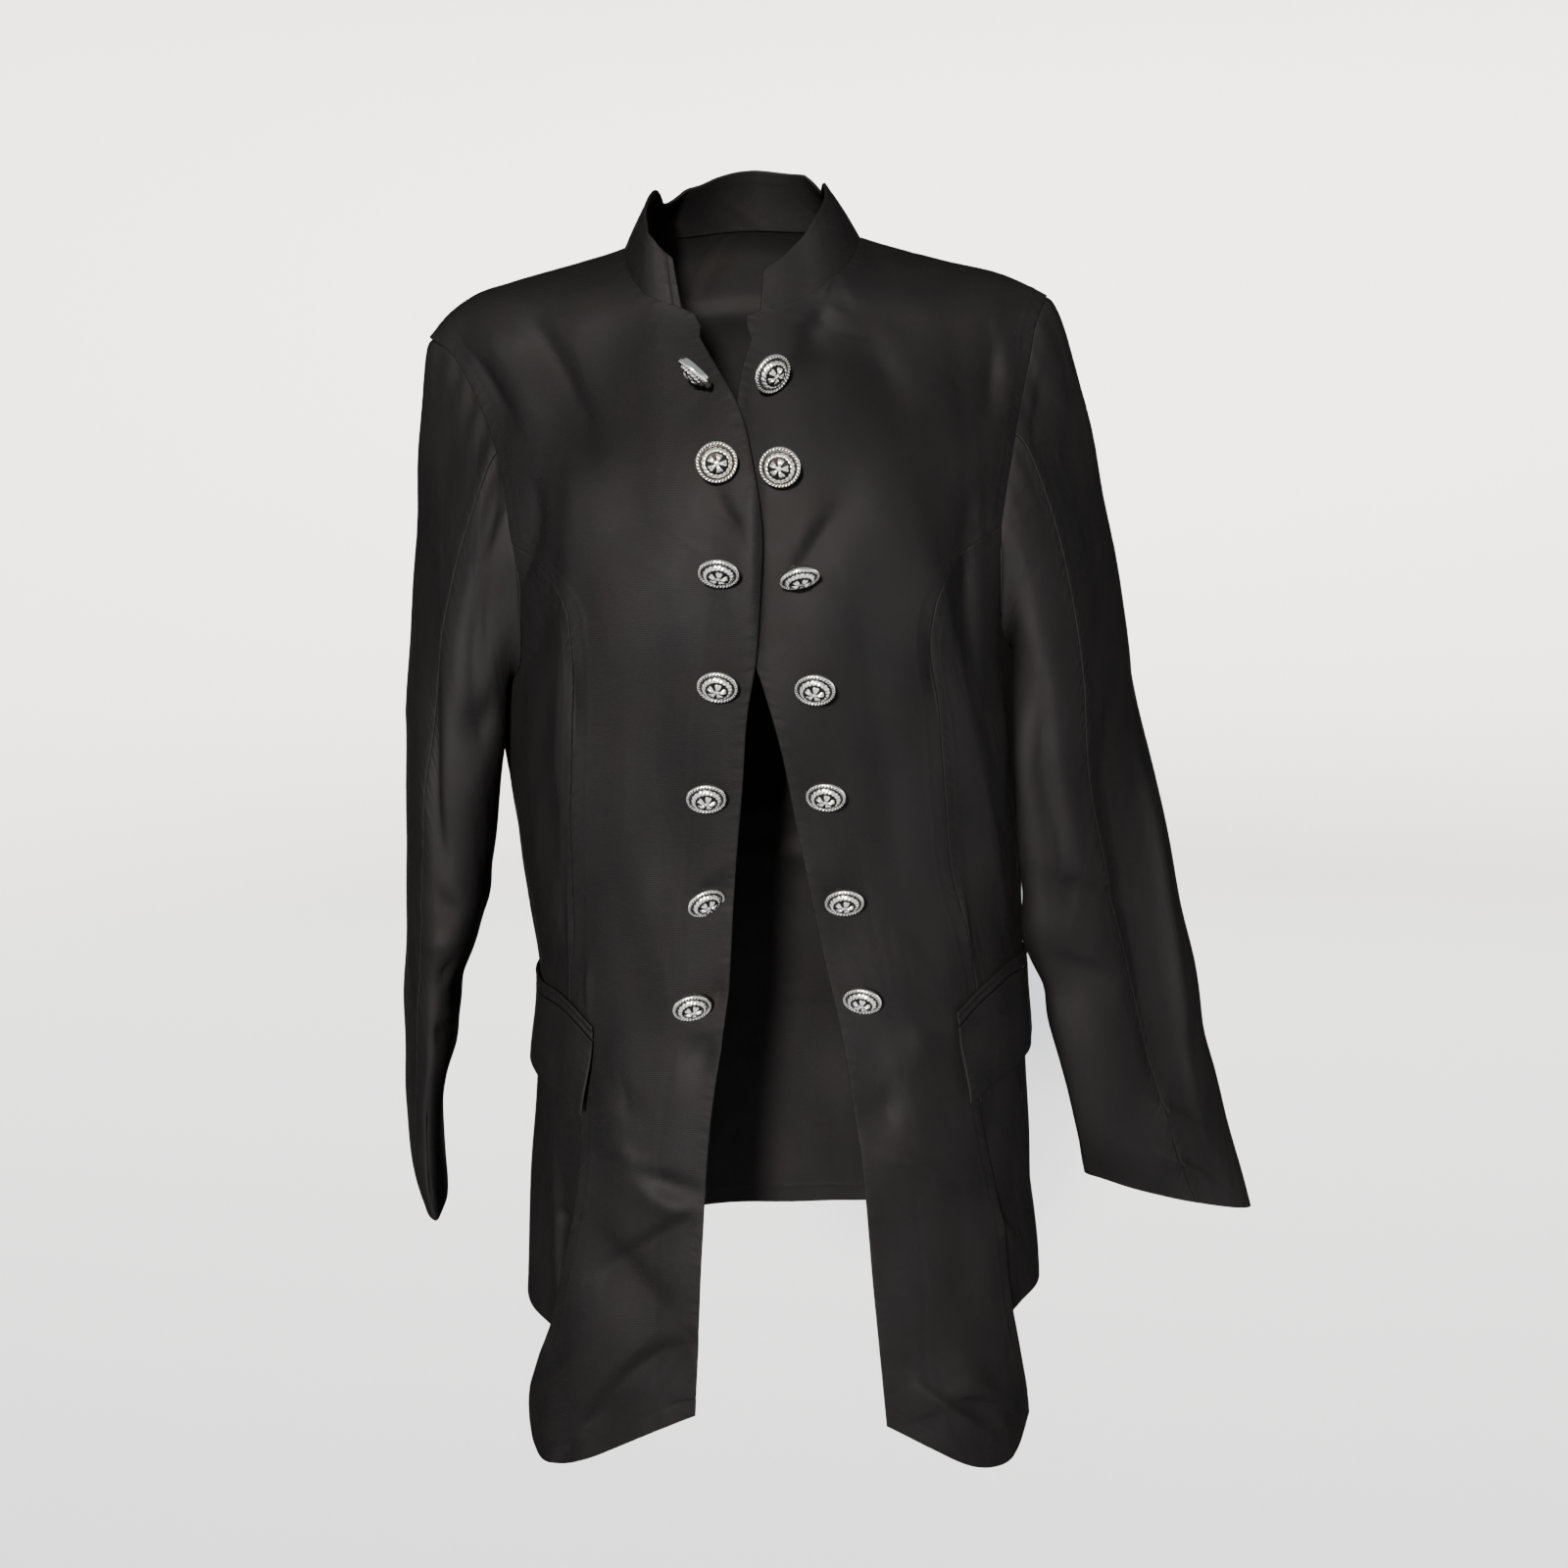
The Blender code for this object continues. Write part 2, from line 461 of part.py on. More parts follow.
def add_wall(name, outer, inner, look="cloth"):
    """Close an outer and an inner grid of points into one wall with four narrow sides."""
    rows, columns = outer.shape[:2]
    count = rows * columns
    points = np.concatenate([outer.reshape(-1, 3), inner.reshape(-1, 3)])
    number = np.arange(count).reshape(rows, columns)
    quads = np.stack([number[:-1, :-1], number[1:, :-1], number[1:, 1:], number[:-1, 1:]], -1)
    quads = quads.reshape(-1, 4)
    rim = np.concatenate([number[0, :-1], number[:-1, -1], number[-1, :0:-1], number[:0:-1, 0]])
    after = np.roll(rim, -1)
    faces = list(quads)
    faces.extend(quads[:, ::-1] + count)
    faces.extend(np.stack([rim, after, after + count, rim + count], -1))
    return add_object(name, points, faces, look)


def ruled(left, right, columns):
    """Grid of (angle, drop) with straight rows from the left side to the right side."""
    share = np.linspace(0.0, 1.0, columns + 1)[None, :, None]
    return left[:, None, :] * (1.0 - share) + right[:, None, :] * share


def edge_line(side, drops):
    """Angles of the neckline and front edge at the given drops."""
    x = SIDES[side] * smooth(drops, EDGE[side]["drop"], EDGE[side]["x"])
    return angle_at(x, drops)


def seam_line(side, drops):
    """Angles of the seam between the front and the side panel at the given drops."""
    x = SIDES[side] * smooth(drops, PANEL_SEAM[side]["drop"], PANEL_SEAM[side]["x"])
    return angle_at(x, drops)


def armhole_line(side, drops):
    """Angles of the front half of the armhole at the given drops."""
    x = SIDES[side] * smooth(drops, ARMHOLE[side]["drop"], ARMHOLE[side]["x"])
    return angle_at(x, drops)


def back_armhole_line(side, drops):
    """Angles of the back half of the armhole, whose x is a share of the shoulder tip's."""
    x = SIDES[side] * SHOULDER_TIP[side] * smooth(drops, BACK_ARMHOLE["drop"], BACK_ARMHOLE["share"])
    return SIDES[side] * 180.0 - angle_at(x, drops, "square_back")


def lap_lift(side, angle, drop):
    """Lift of a front near its edge where the two fronts lie one over the other."""
    reach = np.clip(1.0 - np.abs(angle - edge_line(side, drop)) / LAP_REACH, 0.0, 1.0)
    lift = smooth(drop, LAP["drop"], LAP["lift"]) * ease(reach)
    return lift if side == "right" else -0.25 * lift


def front_steps(side):
    """Drops of a front's rows at its armhole and seam, and at its front edge."""
    low = np.linspace(SLIT_TOP, SEAM_HEM_DROP[side], FRONT_LOW_ROWS + 1)[1:]
    seam = np.concatenate([ARMHOLE_STEPS, SEAM_STEPS, low])
    knots = np.append(EDGE_MATCH["seam"], SEAM_HEM_DROP[side])
    edge = smooth(seam, knots, np.append(EDGE_MATCH["edge"], EDGE_HEM_DROP[side]))
    corner = COLLAR_END_DROP[side]
    neckline = corner * np.sin(np.linspace(0.0, 0.5 * np.pi, NECKLINE_ROWS + 1))
    edge[:NECKLINE_ROWS + 1] = neckline
    return seam, edge


def side_steps(side):
    """Drops of a side panel's rows at its front seam and at its side seam."""
    low = np.linspace(SLIT_TOP, SIDE_HEM_DROP, SIDE_LOW_ROWS + 1)[1:]
    seam = np.concatenate([ARMHOLE_STEPS[-1:], SEAM_STEPS, low])
    rear = np.linspace(UNDERARM_DROP[side], BACK_HEM_DROP, len(seam))
    return seam, rear


def armhole_foot(side, share):
    """Foot of the armhole from the front panel's seam to the underarm, as (angle, drop)."""
    start_angle = armhole_line(side, np.array([ARMHOLE_STEPS[-1]]))[0]
    turn = smooth(share, ARMHOLE_FOOT["share"], ARMHOLE_FOOT["angle"])
    fall = smooth(share, ARMHOLE_FOOT["share"], ARMHOLE_FOOT["drop"])
    angle = start_angle + (SIDES[side] * UNDERARM_ANGLE - start_angle) * turn
    drop = ARMHOLE_STEPS[-1] + (UNDERARM_DROP[side] - ARMHOLE_STEPS[-1]) * fall
    return np.stack([angle, drop], axis=-1)


def add_panel(name, grid, side_sign, lift=0.0):
    """Wall of cloth on the form over a grid of (angle, drop), turned so that it faces out."""
    if side_sign < 0.0:
        grid = grid[:, ::-1]
        lift = lift[:, ::-1] if np.ndim(lift) == 2 else lift
    angle = grid[..., 0]
    drop = grid[..., 1]
    outer = pull_in(cloth(angle, drop, lift), SEAM_GAP)
    inner = outer - cloth_out(angle, drop) * WALL
    return add_wall(name, outer, inner)


def add_front(side):
    """Front panel from the neckline and front edge to the armhole and panel seam."""
    seam, edge = front_steps(side)
    at_armhole = seam <= ARMHOLE_STEPS[-1]
    right = np.where(at_armhole, armhole_line(side, seam), seam_line(side, seam))
    grid = ruled(np.stack([edge_line(side, edge), edge], -1), np.stack([right, seam], -1), FRONT_COLUMNS)
    share = np.linspace(0.0, 1.0, FRONT_COLUMNS + 1)
    grid[..., 1] += smooth(share, HEM[side]["share"], HEM[side]["sag"]) * ease((grid[..., 1] - 0.64) / 0.16)
    return add_panel("front_" + side, grid, SIDES[side], lap_lift(side, grid[..., 0], grid[..., 1]))


def flank_shares(side, left, right):
    """Shares of a side panel's columns in each row, with one column on the sharp fold."""
    ridge = smooth(left[:, 1], RIDGE[side]["drop"], RIDGE[side]["angle"]) * SIDES[side]
    share = np.clip((ridge - left[:, 0]) / (right[:, 0] - left[:, 0]), 0.10, 0.42)[:, None]
    first = share * np.linspace(0.0, 1.0, RIDGE_COLUMNS + 1)
    last = share + (1.0 - share) * np.linspace(0.0, 1.0, FLANK_COLUMNS + 1)[1:]
    return np.concatenate([first, last], axis=1)


def add_side(side):
    """Side panel from the front panel's seam round under the arm; below the slit it tucks in."""
    seam, rear = side_steps(side)
    sign = SIDES[side]
    below = ease((seam - SLIT_TOP) / 0.025)
    under = ease((seam - SLIT_TOP - 0.028) / 0.028)
    apart = SLIT_OPEN * ease((seam - SLIT_TOP + 0.03) / 0.03) * (1.0 - under)
    left = np.stack([seam_line(side, seam) + sign * (apart - SLIT_OVERLAP * under), seam], -1)
    right = np.stack([np.full(len(rear), sign * UNDERARM_ANGLE), rear], -1)
    share = flank_shares(side, left, right)[..., None]
    grid = left[:, None, :] * (1.0 - share) + right[:, None, :] * share
    fade = np.clip(1.0 - np.arange(len(seam)) / 8.0, 0.0, 1.0)[:, None, None]
    grid += (armhole_foot(side, share[0, :, 0]) - grid[0])[None] * fade
    low = np.clip((seam - SLIT_TOP) / (SIDE_HEM_DROP - SLIT_TOP), 0.0, 1.0)
    depth = SLIT_TUCK * below + HEM_TUCK * low
    tuck = -depth[:, None] * ease((1.0 - share[..., 0]) * 1.5 - 0.2)
    return add_panel("side_" + side, grid, sign, tuck)


def shoulder_row(side):
    """Angles of the back's points along a shoulder seam, which meet the front's, from neck to tip."""
    start = np.zeros(FRONT_COLUMNS + 1)
    angle = np.linspace(edge_line(side, start)[0], armhole_line(side, start)[0], FRONT_COLUMNS + 1)
    x = bare_form(angle, start)[:, 0]
    return (180.0 - angle_at(x, start, "square_back")) % 360.0


def back_top_row():
    """Top of the back from one shoulder tip by the back of the neck to the other, as (angle, drop)."""
    left = shoulder_row("left")
    right = shoulder_row("right")
    middle = np.linspace(left[0], right[0], NAPE_COLUMNS + 1)[1:-1]
    angle = np.concatenate([left[::-1], middle, right])
    across = (angle - left[0]) / (right[0] - left[0]) * 2.0 - 1.0
    drop = NAPE_DROP * np.sqrt(np.clip(1.0 - across**2, 0.0, 1.0))
    return np.stack([angle, drop], axis=-1)


def back_sides():
    """Both sides of the back from the shoulder tip to the hem, as (angle, drop)."""
    lines = []
    for side, sign in SIDES.items():
        rear = side_steps(side)[1]
        upper = np.array(ARMHOLE_STEPS[:-1] + (0.195, BACK_FOOT_DROP, UNDERARM_DROP[side] - 0.012))
        drops = np.concatenate([upper, rear])
        armhole = back_armhole_line(side, upper)
        foot = ease((upper - BACK_FOOT_DROP) / (UNDERARM_DROP[side] - BACK_FOOT_DROP))
        armhole = armhole + (sign * UNDERARM_ANGLE - armhole) * foot
        angle = np.concatenate([armhole, np.full(len(rear), sign * UNDERARM_ANGLE)])
        lines.append(np.stack([angle % 360.0, drops], -1))
    return lines


def add_back():
    """Back panel, one piece from side seam to side seam, with the neckline at its top."""
    left, right = back_sides()
    columns = 2 * FRONT_COLUMNS + NAPE_COLUMNS
    grid = ruled(left, right, columns)
    fade = np.clip(1.0 - grid[:, :1, 1] / 0.30, 0.0, 1.0)[..., None] ** 2
    grid = grid + (back_top_row()[None] - grid[:1]) * fade
    return add_panel("back", grid, 1.0)


def armhole_loop(side):
    """Closed loop of (angle, drop) round the armhole: down the front, under the arm, up the back."""
    front = np.array(ARMHOLE_STEPS)
    first = np.stack([armhole_line(side, front), front], -1)
    seam, rear = side_steps(side)
    left = np.stack([seam_line(side, seam[:1]), seam[:1]], -1)
    right = np.array([[SIDES[side] * UNDERARM_ANGLE, rear[0]]])
    foot = armhole_foot(side, flank_shares(side, left, right)[0])[1:]
    back = back_sides()[0 if side == "left" else 1]
    back = back[1:len(ARMHOLE_STEPS) - 1 + 3][::-1]
    return np.concatenate([first, foot, back])


def keep_clear(points, clearance):
    """Push points that come too near the body's cloth straight out from it, with a soft onset."""
    drop = -points[..., 2]
    across = (points[..., 0] - form_size("middle", drop)) / form_size("half_width", drop)
    fore = points[..., 1] < 0.0
    depth = np.where(fore, form_size("front", drop), form_size("back", drop))
    power = np.where(fore, form_size("square_front", drop), form_size("square_back", drop)) / 2.0
    turn = np.degrees(np.arctan2(np.abs(across) ** power, np.abs(points[..., 1] / depth) ** power))
    angle = np.where(fore, turn, 180.0 - turn) * np.sign(across)
    normal = cloth_out(angle, drop)
    lack = clearance - np.sum((points - cloth(angle, drop)) * normal, axis=-1)
    push = 0.5 * (lack + np.sqrt(lack**2 + 0.003**2)) * ease((drop - 0.16) / 0.06)
    return points + normal * np.where(clearance > 0.0, push, 0.0)[..., None]


def sleeve_grid(side):
    """Points of the sleeve's outer face: rows from the armhole to the cuff, columns round the arm."""
    sign = SIDES[side]
    loop = armhole_loop(side)
    start = cloth(loop[:, 0], loop[:, 1])
    along_loop = np.roll(start, -1, axis=0) - np.roll(start, 1, axis=0)
    inset = np.cross(along_loop, cloth_out(loop[:, 0], loop[:, 1]))
    inset = inset / np.linalg.norm(inset, axis=-1, keepdims=True)
    facing = np.sum(inset * (start.mean(axis=0) - start), axis=-1, keepdims=True)
    inset = np.where(facing > 0.0, inset, -inset)
    start = start + inset * SLEEVE_GAP
    length = np.linalg.norm(np.diff(start, axis=0, append=start[:1]), axis=-1)
    around = np.concatenate([[0.0], np.cumsum(length)[:-1]]) / length.sum() * 2.0 * np.pi
    table = SLEEVE[side]
    depth = np.linspace(0.0, 1.0, ARM_ROWS + 1)
    z = table["z"][0] + (table["z"][-1] - table["z"][0]) * depth
    down = -z
    size = {name: smooth(down, -table["z"], table[name]) for name in SLEEVE_NAMES[1:]}
    turn = np.radians(size["turn"])[:, None]
    phase = around[None, :] + turn
    power = 2.0 / size["square"][:, None]
    along = size["long"][:, None] * np.sign(np.cos(phase)) * np.abs(np.cos(phase)) ** power
    across = size["short"][:, None] * np.sign(np.sin(phase)) * np.abs(np.sin(phase)) ** power
    out = along * np.cos(turn) + across * np.sin(turn)
    fore = -along * np.sin(turn) + across * np.cos(turn)
    fold = np.zeros_like(out)
    for row in ELBOW_FOLDS[side]:
        gap = (np.degrees(around)[None, :] - row["around"] + 180.0) % 360.0 - 180.0
        near = np.exp(-((z[:, None] - row["z"]) / row["width"]) ** 2 - (gap / row["spread"]) ** 2)
        fold = fold + row["height"] * near
    out = out + fold * np.cos(around)[None, :]
    fore = fore + fold * np.sin(around)[None, :]
    bow = CUFF_BOW * ease((depth - 0.6) / 0.4)[:, None] * fore / size["long"][:, None]
    height = z[:, None] - size["slant"][:, None] * out - bow
    arm = np.stack([sign * (size["x"][:, None] + out), size["y"][:, None] - fore, height], -1)
    axis = arm[1].mean(axis=0) - arm[0].mean(axis=0)
    axis = axis / np.linalg.norm(axis)
    reach = np.linalg.norm(arm[0] - start, axis=-1)[:, None]
    away = cloth_out(loop[:, 0], loop[:, 1]) * 0.35 + np.array([sign, 0.0, 0.0])
    away = away / np.linalg.norm(away, axis=-1, keepdims=True)
    leave = away * np.minimum(reach, CAP_PUSH[side])
    arrive = axis * reach * CAP_PULL
    t = np.linspace(0.0, 1.0, CAP_ROWS + 1)[:-1, None, None]
    cap = (2 * t**3 - 3 * t**2 + 1) * start + (t**3 - 2 * t**2 + t) * leave
    cap = cap + (3 * t**2 - 2 * t**3) * arm[0] + (t**3 - t**2) * arrive
    grid = np.concatenate([cap, arm])
    clearance = SLEEVE_CLEAR * np.clip(np.arange(len(grid)) / 3.0, 0.0, 1.0)[:, None]
    return keep_clear(grid, clearance), inset


def sleeve_out(grid, inset, sign):
    """Unit normals of the sleeve, turned at the armhole so that its wall stays off the body's edge."""
    around = np.roll(grid, -1, axis=1) - np.roll(grid, 1, axis=1)
    down = np.gradient(grid, axis=0)
    normal = np.cross(around, down) * sign
    normal = normal / np.linalg.norm(normal, axis=-1, keepdims=True)
    into = np.clip(np.sum(normal[0] * inset, axis=-1, keepdims=True), 0.0, None)
    normal[0] -= inset * into
    return normal / np.linalg.norm(normal, axis=-1, keepdims=True)


def add_sleeve(side):
    """Upper and under sleeve: two curved walls that meet along the arm at front and back."""
    sign = SIDES[side]
    grid, inset = sleeve_grid(side)
    normal = sleeve_out(grid, inset, sign)
    count = grid.shape[1]
    back_seam = count - SLEEVE_SEAM_STEP
    under = np.arange(SLEEVE_SEAM_STEP, back_seam + 1)
    upper = np.arange(back_seam, SLEEVE_SEAM_STEP + count + 1) % count
    for name, columns in (("sleeve_upper_", upper), ("sleeve_under_", under)):
        columns = columns[::-1] if sign > 0.0 else columns
        outer = pull_in(grid[:, columns], SLEEVE_GAP)
        add_wall(name + side, outer, outer - normal[:, columns] * WALL)


def neckline_loop():
    """Neckline from the left collar end round the back of the neck to the right one, as (angle, drop)."""
    parts = []
    for side in ("left", "right"):
        drops = front_steps(side)[1][:NECKLINE_ROWS + 1]
        parts.append(np.stack([edge_line(side, drops), drops], -1))
    top = back_top_row()[FRONT_COLUMNS:-FRONT_COLUMNS]
    return parts[0][::-1], top, parts[1]


def collar_sizes(seat):
    """Height and lean of the collar at each point of the neckline, by its share of its own half."""
    length = np.concatenate([[0.0], np.cumsum(np.linalg.norm(np.diff(seat, axis=0), axis=-1))])
    share = 1.0 - np.abs(2.0 * length / length[-1] - 1.0)
    at_left = length < 0.5 * length[-1]
    sizes = []
    for name in COLLAR_NAMES[1:]:
        left = smooth(share, COLLAR["left"]["share"], COLLAR["left"][name])
        right = smooth(share, COLLAR["right"]["share"], COLLAR["right"][name])
        sizes.append(np.where(at_left, left, right)[:, None])
    return sizes


def add_collar():
    """Stand collar: a band raised from the neckline, leaning in to the neck."""
    front_left, nape, front_right = neckline_loop()
    seat = np.concatenate([cloth(*front_left.T), cloth(*nape.T)[1:-1], cloth(*front_right.T)])
    inward = (np.array([0.0, NECK_AXIS_Y, 0.0]) - seat) * np.array([1.0, 1.0, 0.0])
    inward = inward / np.linalg.norm(inward, axis=-1, keepdims=True)
    height, lean, aside = collar_sizes(seat)
    rise = inward * lean + np.array([0.0, 0.0, 1.0])
    rise[:, 0] += np.sign(seat[:, 0]) * aside[:, 0]
    rise = rise / np.linalg.norm(rise, axis=-1, keepdims=True)
    seat = seat + rise * COLLAR_SEAM
    steps = np.linspace(1.0, 0.0, COLLAR_ROWS_UP + 1)[:, None, None]
    outer = seat + rise * height * steps
    out = np.cross(rise, np.gradient(seat, axis=0))
    out = out / np.linalg.norm(out, axis=-1, keepdims=True)
    out = np.where(np.sum(out * inward, axis=-1, keepdims=True) > 0.0, -out, out)
    add_wall("collar", outer, outer - np.broadcast_to(out, outer.shape) * COLLAR_WALL)


def pocket_grid(side, top, bottom, rows):
    """Grid of (angle, drop) between two lines of the pocket."""
    share = np.linspace(0.0, 1.0, FLAP_COLUMNS + 1)
    table = POCKET[side]
    angle = smooth(share, table["share"], table["angle"])
    fall = np.linspace(0.0, 1.0, rows + 1)[:, None]
    drop = top(share) * (1.0 - fall) + bottom(share) * fall
    return np.stack([np.broadcast_to(angle, drop.shape), drop], -1), share, fall


def add_pocket(side):
    """Piped welt over a flap that hangs from it and stands off the panel at its front corner."""
    table = POCKET[side]
    sign = SIDES[side]

    def welt_line(share):
        return smooth(share, table["share"], table["welt"])

    def welt_foot(share):
        return welt_line(share) + WELT_HEIGHT

    def flap_hem(share):
        return smooth(share, table["share"], table["hem"])

    def flap_top(share):
        return welt_foot(share) + SEAM_GAP * 2.0

    pieces = (
        ("pocket_welt_", welt_line, welt_foot, WELT_ROWS, WELT_RAISE, 0.0, WALL),
        ("pocket_flap_", flap_top, flap_hem, FLAP_ROWS, FLAP_RAISE, FLAP_STAND, FLAP_WALL),
    )
    for name, top, bottom, rows, raise_by, stand, wall in pieces:
        grid, share, fall = pocket_grid(side, top, bottom, rows)
        lift = raise_by + stand * ease(fall) * (0.35 + 0.65 * (1.0 - ease(share * 2.5)))
        lift = np.broadcast_to(lift, grid.shape[:2])
        if sign < 0.0:
            grid = grid[:, ::-1]
            lift = lift[:, ::-1]
        outer = cloth(grid[..., 0], grid[..., 1], lift)
        inner = outer - cloth_out(grid[..., 0], grid[..., 1]) * wall
        add_wall(name + side, outer, inner)


def button_frame(side, row):
    """Seat on the cloth, the cloth's normal and the way that a button faces as it droops."""
    drop = np.array([row["drop"]])
    angle = angle_at(np.array([row["x"]]), drop)
    seat = cloth(angle, drop, lap_lift(side, angle, drop))[0]
    normal = cloth_out(angle, drop)[0]
    droop = np.radians(row["droop"])
    swing = np.radians(row["swing"])
    level = normal * np.array([1.0, 1.0, 0.0])
    level = level / np.linalg.norm(level)
    aside = np.cross(np.array([0.0, 0.0, 1.0]), level)
    hang = np.cos(swing) * np.array([0.0, 0.0, -1.0]) + np.sin(swing) * aside
    facing = np.cos(droop) * level + np.sin(droop) * hang
    return seat, normal, facing


def add_button(side, number, row):
    """Domed metal button turned about its axis, with a shank that bends down to the cloth."""
    seat, normal, facing = button_frame(side, row)
    lean = float(facing @ normal)
    rise = BUTTON_RADIUS * np.sqrt(1.0 - lean**2) + BUTTON_DEPTH * abs(lean) + BUTTON_CLEAR
    fall = normal * normal[2] - np.array([0.0, 0.0, 1.0])
    centre = seat + (normal + fall * BUTTON_HANG) * rise
    aside = np.cross(np.array([0.0, 0.0, 1.0]), facing)
    aside = aside / np.linalg.norm(aside)
    upward = np.cross(facing, aside)
    turn = np.linspace(0.0, 2.0 * np.pi, BUTTON_SIDES, endpoint=False)
    circle = np.cos(turn)[:, None] * aside + np.sin(turn)[:, None] * upward
    profile = zip(BUTTON_PROFILE["radius"], BUTTON_PROFILE["height"])
    rings = [centre + circle * radius + facing * height for radius, height in profile]
    neck = centre + facing * (BUTTON_PROFILE["height"][0] - SHANK_STEP)
    foot = seat + normal * (SEAM_GAP * 2.0 - row["sink"])
    flat = np.cross(normal, aside)
    flat_circle = np.cos(turn)[:, None] * np.cross(flat, normal) + np.sin(turn)[:, None] * flat
    middle = (neck + foot) * 0.5 - facing * SHANK_BEND
    bend = circle + flat_circle
    bend = bend / np.linalg.norm(bend, axis=-1, keepdims=True)
    shank = [foot + flat_circle * SHANK_RADIUS, middle + bend * SHANK_RADIUS, neck + circle * SHANK_RADIUS]
    rings = shank + rings
    top = centre + facing * (BUTTON_PROFILE["height"][-1] + DOME_TOP)
    points = np.concatenate([foot[None]] + rings + [top[None]])
    count = BUTTON_SIDES
    faces = []
    for index in range(count):
        after = (index + 1) % count
        faces.append((0, 1 + after, 1 + index))
        for ring in range(len(rings) - 1):
            low = 1 + ring * count
            high = low + count
            faces.append((low + index, low + after, high + after, high + index))
        last = 1 + (len(rings) - 1) * count
        faces.append((last + index, last + after, len(points) - 1))
    add_object("button_%s_%d" % (side, number), points, faces, "metal")


for old in list(bpy.data.objects):
    bpy.data.objects.remove(old, do_unlink=True)

add_back()
add_collar()
for side_name in SIDES:
    add_front(side_name)
    add_side(side_name)
    add_sleeve(side_name)
    add_pocket(side_name)
    for place, button_row in enumerate(BUTTONS[side_name], start=1):
        add_button(side_name, place, button_row)
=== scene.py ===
import bpy
import numpy as np
from mathutils import Matrix, Vector


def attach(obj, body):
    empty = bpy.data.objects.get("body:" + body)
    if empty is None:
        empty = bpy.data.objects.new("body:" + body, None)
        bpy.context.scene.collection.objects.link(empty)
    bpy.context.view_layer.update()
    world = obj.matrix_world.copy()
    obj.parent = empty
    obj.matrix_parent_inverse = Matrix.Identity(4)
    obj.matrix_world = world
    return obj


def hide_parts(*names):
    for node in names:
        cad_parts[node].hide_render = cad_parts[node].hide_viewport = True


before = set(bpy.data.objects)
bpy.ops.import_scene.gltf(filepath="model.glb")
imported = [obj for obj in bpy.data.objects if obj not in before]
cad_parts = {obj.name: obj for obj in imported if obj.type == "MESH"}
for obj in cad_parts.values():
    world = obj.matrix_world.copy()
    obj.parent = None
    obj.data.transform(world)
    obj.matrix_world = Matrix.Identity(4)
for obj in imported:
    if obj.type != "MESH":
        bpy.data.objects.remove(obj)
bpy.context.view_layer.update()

# A long black blazer with a stand collar, worn open below the bust. A place on the body is an angle,
# 0 at the middle of the front and positive to the wearer's left, and a drop in metres below the
# shoulder line. The front faces -Y, the wearer's left is +X and +Z is up.

# Studio: a pale floor that turns up far away into a round wall, pale light from every side, a low
# soft sun and a lamp in front, and a weaker sun behind. The camera stands where the photo was taken.
CAMERA_PLACE = (0.0133, -1.2825, -0.095)
CAMERA_PITCH = 12.0
CAMERA_ROLL = 2.2
PHOTO_WIDTH = 1600.0
FOCAL_LENGTH = 1950.0
SENSOR_WIDTH = 36.0
FLOOR_HEIGHT = -1.45
FLOOR_REACH = 14.0
FLOOR_FLAT = 4.0
FLOOR_BEND = 7.0
WALL_HEIGHT = 3.8
FLOOR_POINTS = 90
SKY_STRENGTH = 0.45
SUN_PLACE = (-0.35, -2.30, 0.50)
SUN_AIM = (0.0, 0.0, -0.30)
SUN_STRENGTH = 16.0
SUN_SPREAD = 6.0
BACK_SUN_PLACE = (0.60, 2.30, 1.10)
BACK_SUN_STRENGTH = 4.5
LAMP_PLACE = (-0.10, -2.20, 0.80)
LAMP_AIM = (0.0, 0.0, -0.35)
LAMP_WIDTH = 0.90
LAMP_HEIGHT = 0.60
LAMP_POWER = 8.0


def linear(hex_colour):
    """Linear colour and alpha of an sRGB hex colour, by the sRGB curve."""
    srgb = np.array([int(hex_colour[place:place + 2], 16) for place in (1, 3, 5)]) / 255.0
    light = np.where(srgb <= 0.04045, srgb / 12.92, ((srgb + 0.055) / 1.055) ** 2.4)
    return (*light.tolist(), 1.0)


def ease(value):
    """Rise from 0 to 1 with level ends: 3 v squared less 2 v cubed."""
    value = np.clip(value, 0.0, 1.0)
    return value * value * (3.0 - 2.0 * value)


def add_node(tree, kind, inputs=None, **settings):
    """Add a node, set its properties, and give each named input a value or another node's output."""
    made = tree.nodes.new(kind)
    for name, value in settings.items():
        setattr(made, name, value)
    for name, value in (inputs or {}).items():
        if isinstance(value, bpy.types.NodeSocket):
            tree.links.new(value, made.inputs[name])
        else:
            made.inputs[name].default_value = value
    return made


def new_material(name):
    """Empty node tree for a material, with its output and shader."""
    made = bpy.data.materials.new(name)
    made.use_nodes = True
    return made, made.node_tree, made.node_tree.nodes["Principled BSDF"]


def quads_between(number):
    """Quads between neighbours of a grid of point numbers: down, across and up again."""
    corners = (number[:-1, :-1], number[1:, :-1], number[1:, 1:], number[:-1, 1:])
    return np.stack(corners, -1).reshape(-1, 4)


def add_piece(name, points, faces, material):
    """Object at the origin, shaded smooth, from an array of points and the list of its faces."""
    mesh = bpy.data.meshes.new(name)
    mesh.from_pydata(points.reshape(-1, 3).tolist(), [], faces)
    mesh.shade_smooth()
    mesh.materials.append(material)
    made = bpy.data.objects.new(name, mesh)
    bpy.context.scene.collection.objects.link(made)
    return made


# Matt white vinyl, rolled smooth: an even pale surface with no gloss.
white_vinyl, tree, shader = new_material("matt_white_vinyl")
shader.inputs["Base Color"].default_value = linear("#f4f4f4")
shader.inputs["Roughness"].default_value = 0.9
shader.inputs["Specular IOR Level"].default_value = 0.1

